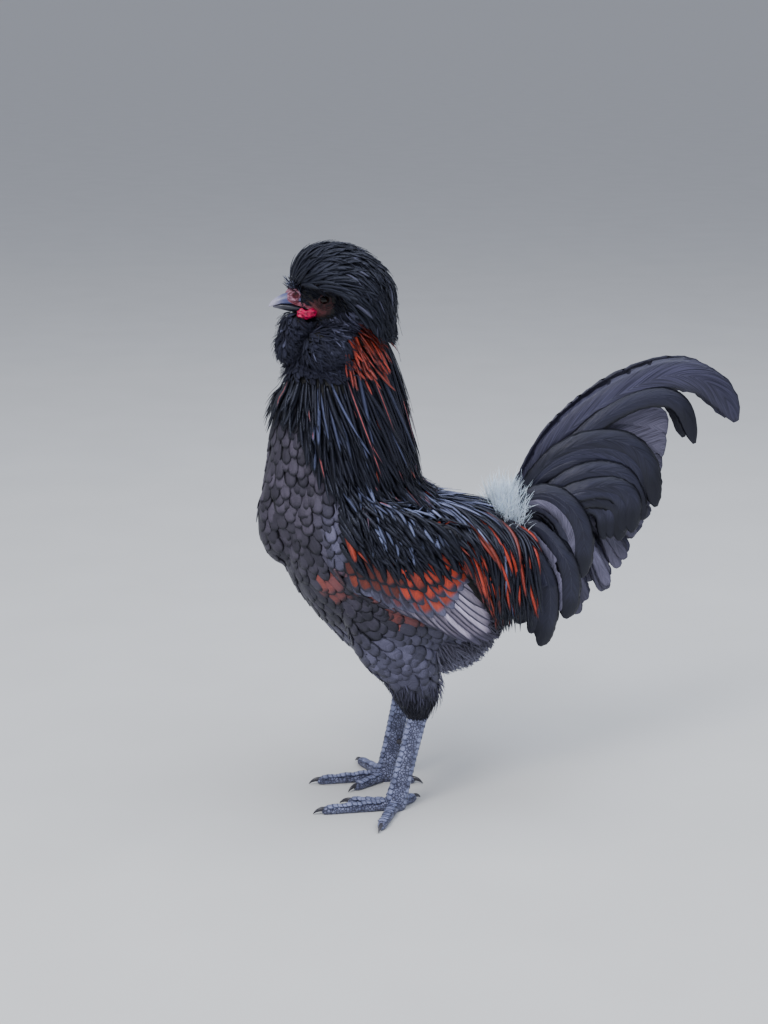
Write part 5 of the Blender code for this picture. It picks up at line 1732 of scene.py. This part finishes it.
# Degrees round the left shank from its outer side, share of the plate's size, stagger
SHANK_TURNS = ((-50, 1.0, 0.0), (-98, 1.0, 0.5), (66, 0.9, 0.0), (112, 0.9, 0.5))
for side, word in SIDES.items():
    shank_rows, toe_rows = foot_rows(side)
    shapes = [loft(shank_rows, sides=28, rings=50)]
    turns = [(a if side == LEFT else 180 - a, share, stagger) for a, share, stagger in SHANK_TURNS]
    groups = [plates(shank_rows, 17, turns, 0.0074, (1, 0, 0), 0.0010)]
    for name, rows in toe_rows.items():
        out, forward = TOES[side][name]
        across = units(np.array((-forward, side * out, 0.0)))
        shapes.append(loft(rows, sides=20, rings=40, across=across))
        up = np.cross(units(np.array((side * out, forward, 0.0))), across)[2]
        count = max(6, round(np.hypot(out, forward) / 0.0042))
        groups.append(plates(rows, count, ((90 if up > 0 else -90, 1.0, 0.0),), 0.0090, across))
    foot = joined(f"foot_{word}", shapes)
    melt(foot, voxel=0.0008, rounds=5)
    for vertex in foot.data.vertices:
        vertex.co.z = max(vertex.co.z, 0.0)
    names = [f"toe_{word}_{name}" for name in TOES[side]]
    hand_over(foot, hide_surface, "shank_scale", f"shank_{word}", *names)
    paths, facings, width = [np.concatenate(group) for group in zip(*groups)]
    scutes = feathers(f"scutes_{word}", paths, facings, width, PLATE, (SLATE,) * 3, columns=4, cup=0.20,
                      thickness=0.0004, axis=2)
    hand_over(scutes, scale_surface, "shank_scale")

# %% Claws and spurs
# Share of the way to the tip, height of the middle, radius
CLAW = (
    (0.0, 0.0042, 0.0024), (0.3, 0.0046, 0.0021), (0.6, 0.0040, 0.0016), (0.85, 0.0026, 0.0009),
    (1.0, 0.0012, 0.0004),
)
SPUR_LENGTH, SPUR_RADIUS = 0.010, 0.0030
claw_horn = Finish("claw_horn", Coat_Weight=0.2)
grain = claw_horn.noise(claw_horn.place(), 700.0, 3.0)
claw_horn.show(claw_horn.colour(grain, paint(62, 60, 70), paint(36, 34, 40)), grain * 0.2 + 0.35)
claw_horn.bump(grain, 0.2, 0.0002)
for side, word in SIDES.items():
    for name, (out, forward) in TOES[side].items():
        end = np.array((side * (LEG_APART + out), PAD_Y[side] + forward))
        heading = units(np.array((side * out, forward)))
        rows = []
        for share, high, radius in CLAW:
            spot = end + heading * CLAW_LENGTH * share
            rows.append((*spot, high, radius * 0.8, radius))
        shape = loft(rows, sides=16, rings=24, across=(-heading[1], heading[0], 0.0))
        claw = new_piece(f"claw_{word}_{name}_horn", *shape)
        hand_over(claw, claw_horn.material, "claw", f"claw_{word}_{name}")
    y = (PAD_Y[side] + HOCK_Y[side]) / 2 + 0.001
    rows = []
    for share in (0.0, 0.5, 1.0):
        radius = SPUR_RADIUS * (1 - 0.6 * share)
        reach = SPUR_LENGTH * share
        x, z = side * (LEG_APART - 0.003 - reach * 0.75), HOCK_HEIGHT * 0.42 + reach * 0.1
        rows.append((x, y + reach * 0.66, z, radius, radius))
    spur = new_piece(f"spur_{word}_horn", *loft(rows, sides=16, rings=16, across=(0, 0, 1)))
    hand_over(spur, claw_horn.material, "claw", f"spur_{word}")

# %% [markdown]
# ## Floor and light
#
# The bird stands on a plain pale floor. An overcast sky lit the real one, so the studio has a soft
# pale world and one large soft lamp above and to the left of the camera.

# %% Floor, world and lamps
FLOOR_SIZE, FLOOR_FLAT = 600, 200
FLOOR_RISE = 4.0
bpy.ops.object.select_all(action="DESELECT")
bpy.ops.mesh.primitive_grid_add(x_subdivisions=3, y_subdivisions=3, size=FLOOR_SIZE, location=(0, 0, 0))
floor = bpy.context.active_object
floor.name = "floor"
for vertex in floor.data.vertices:
    vertex.co.z = FLOOR_RISE * (max(abs(vertex.co.x), abs(vertex.co.y)) > FLOOR_FLAT)
pale_floor = Finish("pale_floor")
speckle = pale_floor.noise(pale_floor.place(), 8.0)
pale_floor.show(pale_floor.colour(speckle, (0.60, 0.60, 0.59), (0.66, 0.66, 0.65)), speckle * 0.1 + 0.8)
floor.data.materials.append(pale_floor.material)

world = bpy.data.worlds.new("studio")
bpy.context.scene.world = world
world.use_nodes = True
sky = world.node_tree.nodes["Background"].inputs
sky["Color"].default_value = (0.80, 0.85, 1.0, 1)
sky["Strength"].default_value = 0.55


def soft_lamp(name, place, size, power, colour):
    lamp = add_object(name, bpy.data.lights.new(name, "AREA"))
    lamp.location = place
    lamp.rotation_euler = (LAMP_TARGET - Vector(place)).to_track_quat("-Z", "Y").to_euler()
    lamp.data.size = size
    lamp.data.energy = power
    lamp.data.color = colour


LAMP_TARGET = Vector((0, 0, 0.25))
soft_lamp("key_lamp", (1.5, -1.3, 2.2), size=1.0, power=45, colour=(1.0, 0.98, 0.96))
soft_lamp("sky_lamp", (0.3, 0.4, 2.4), size=2.6, power=75, colour=(0.86, 0.91, 1.0))
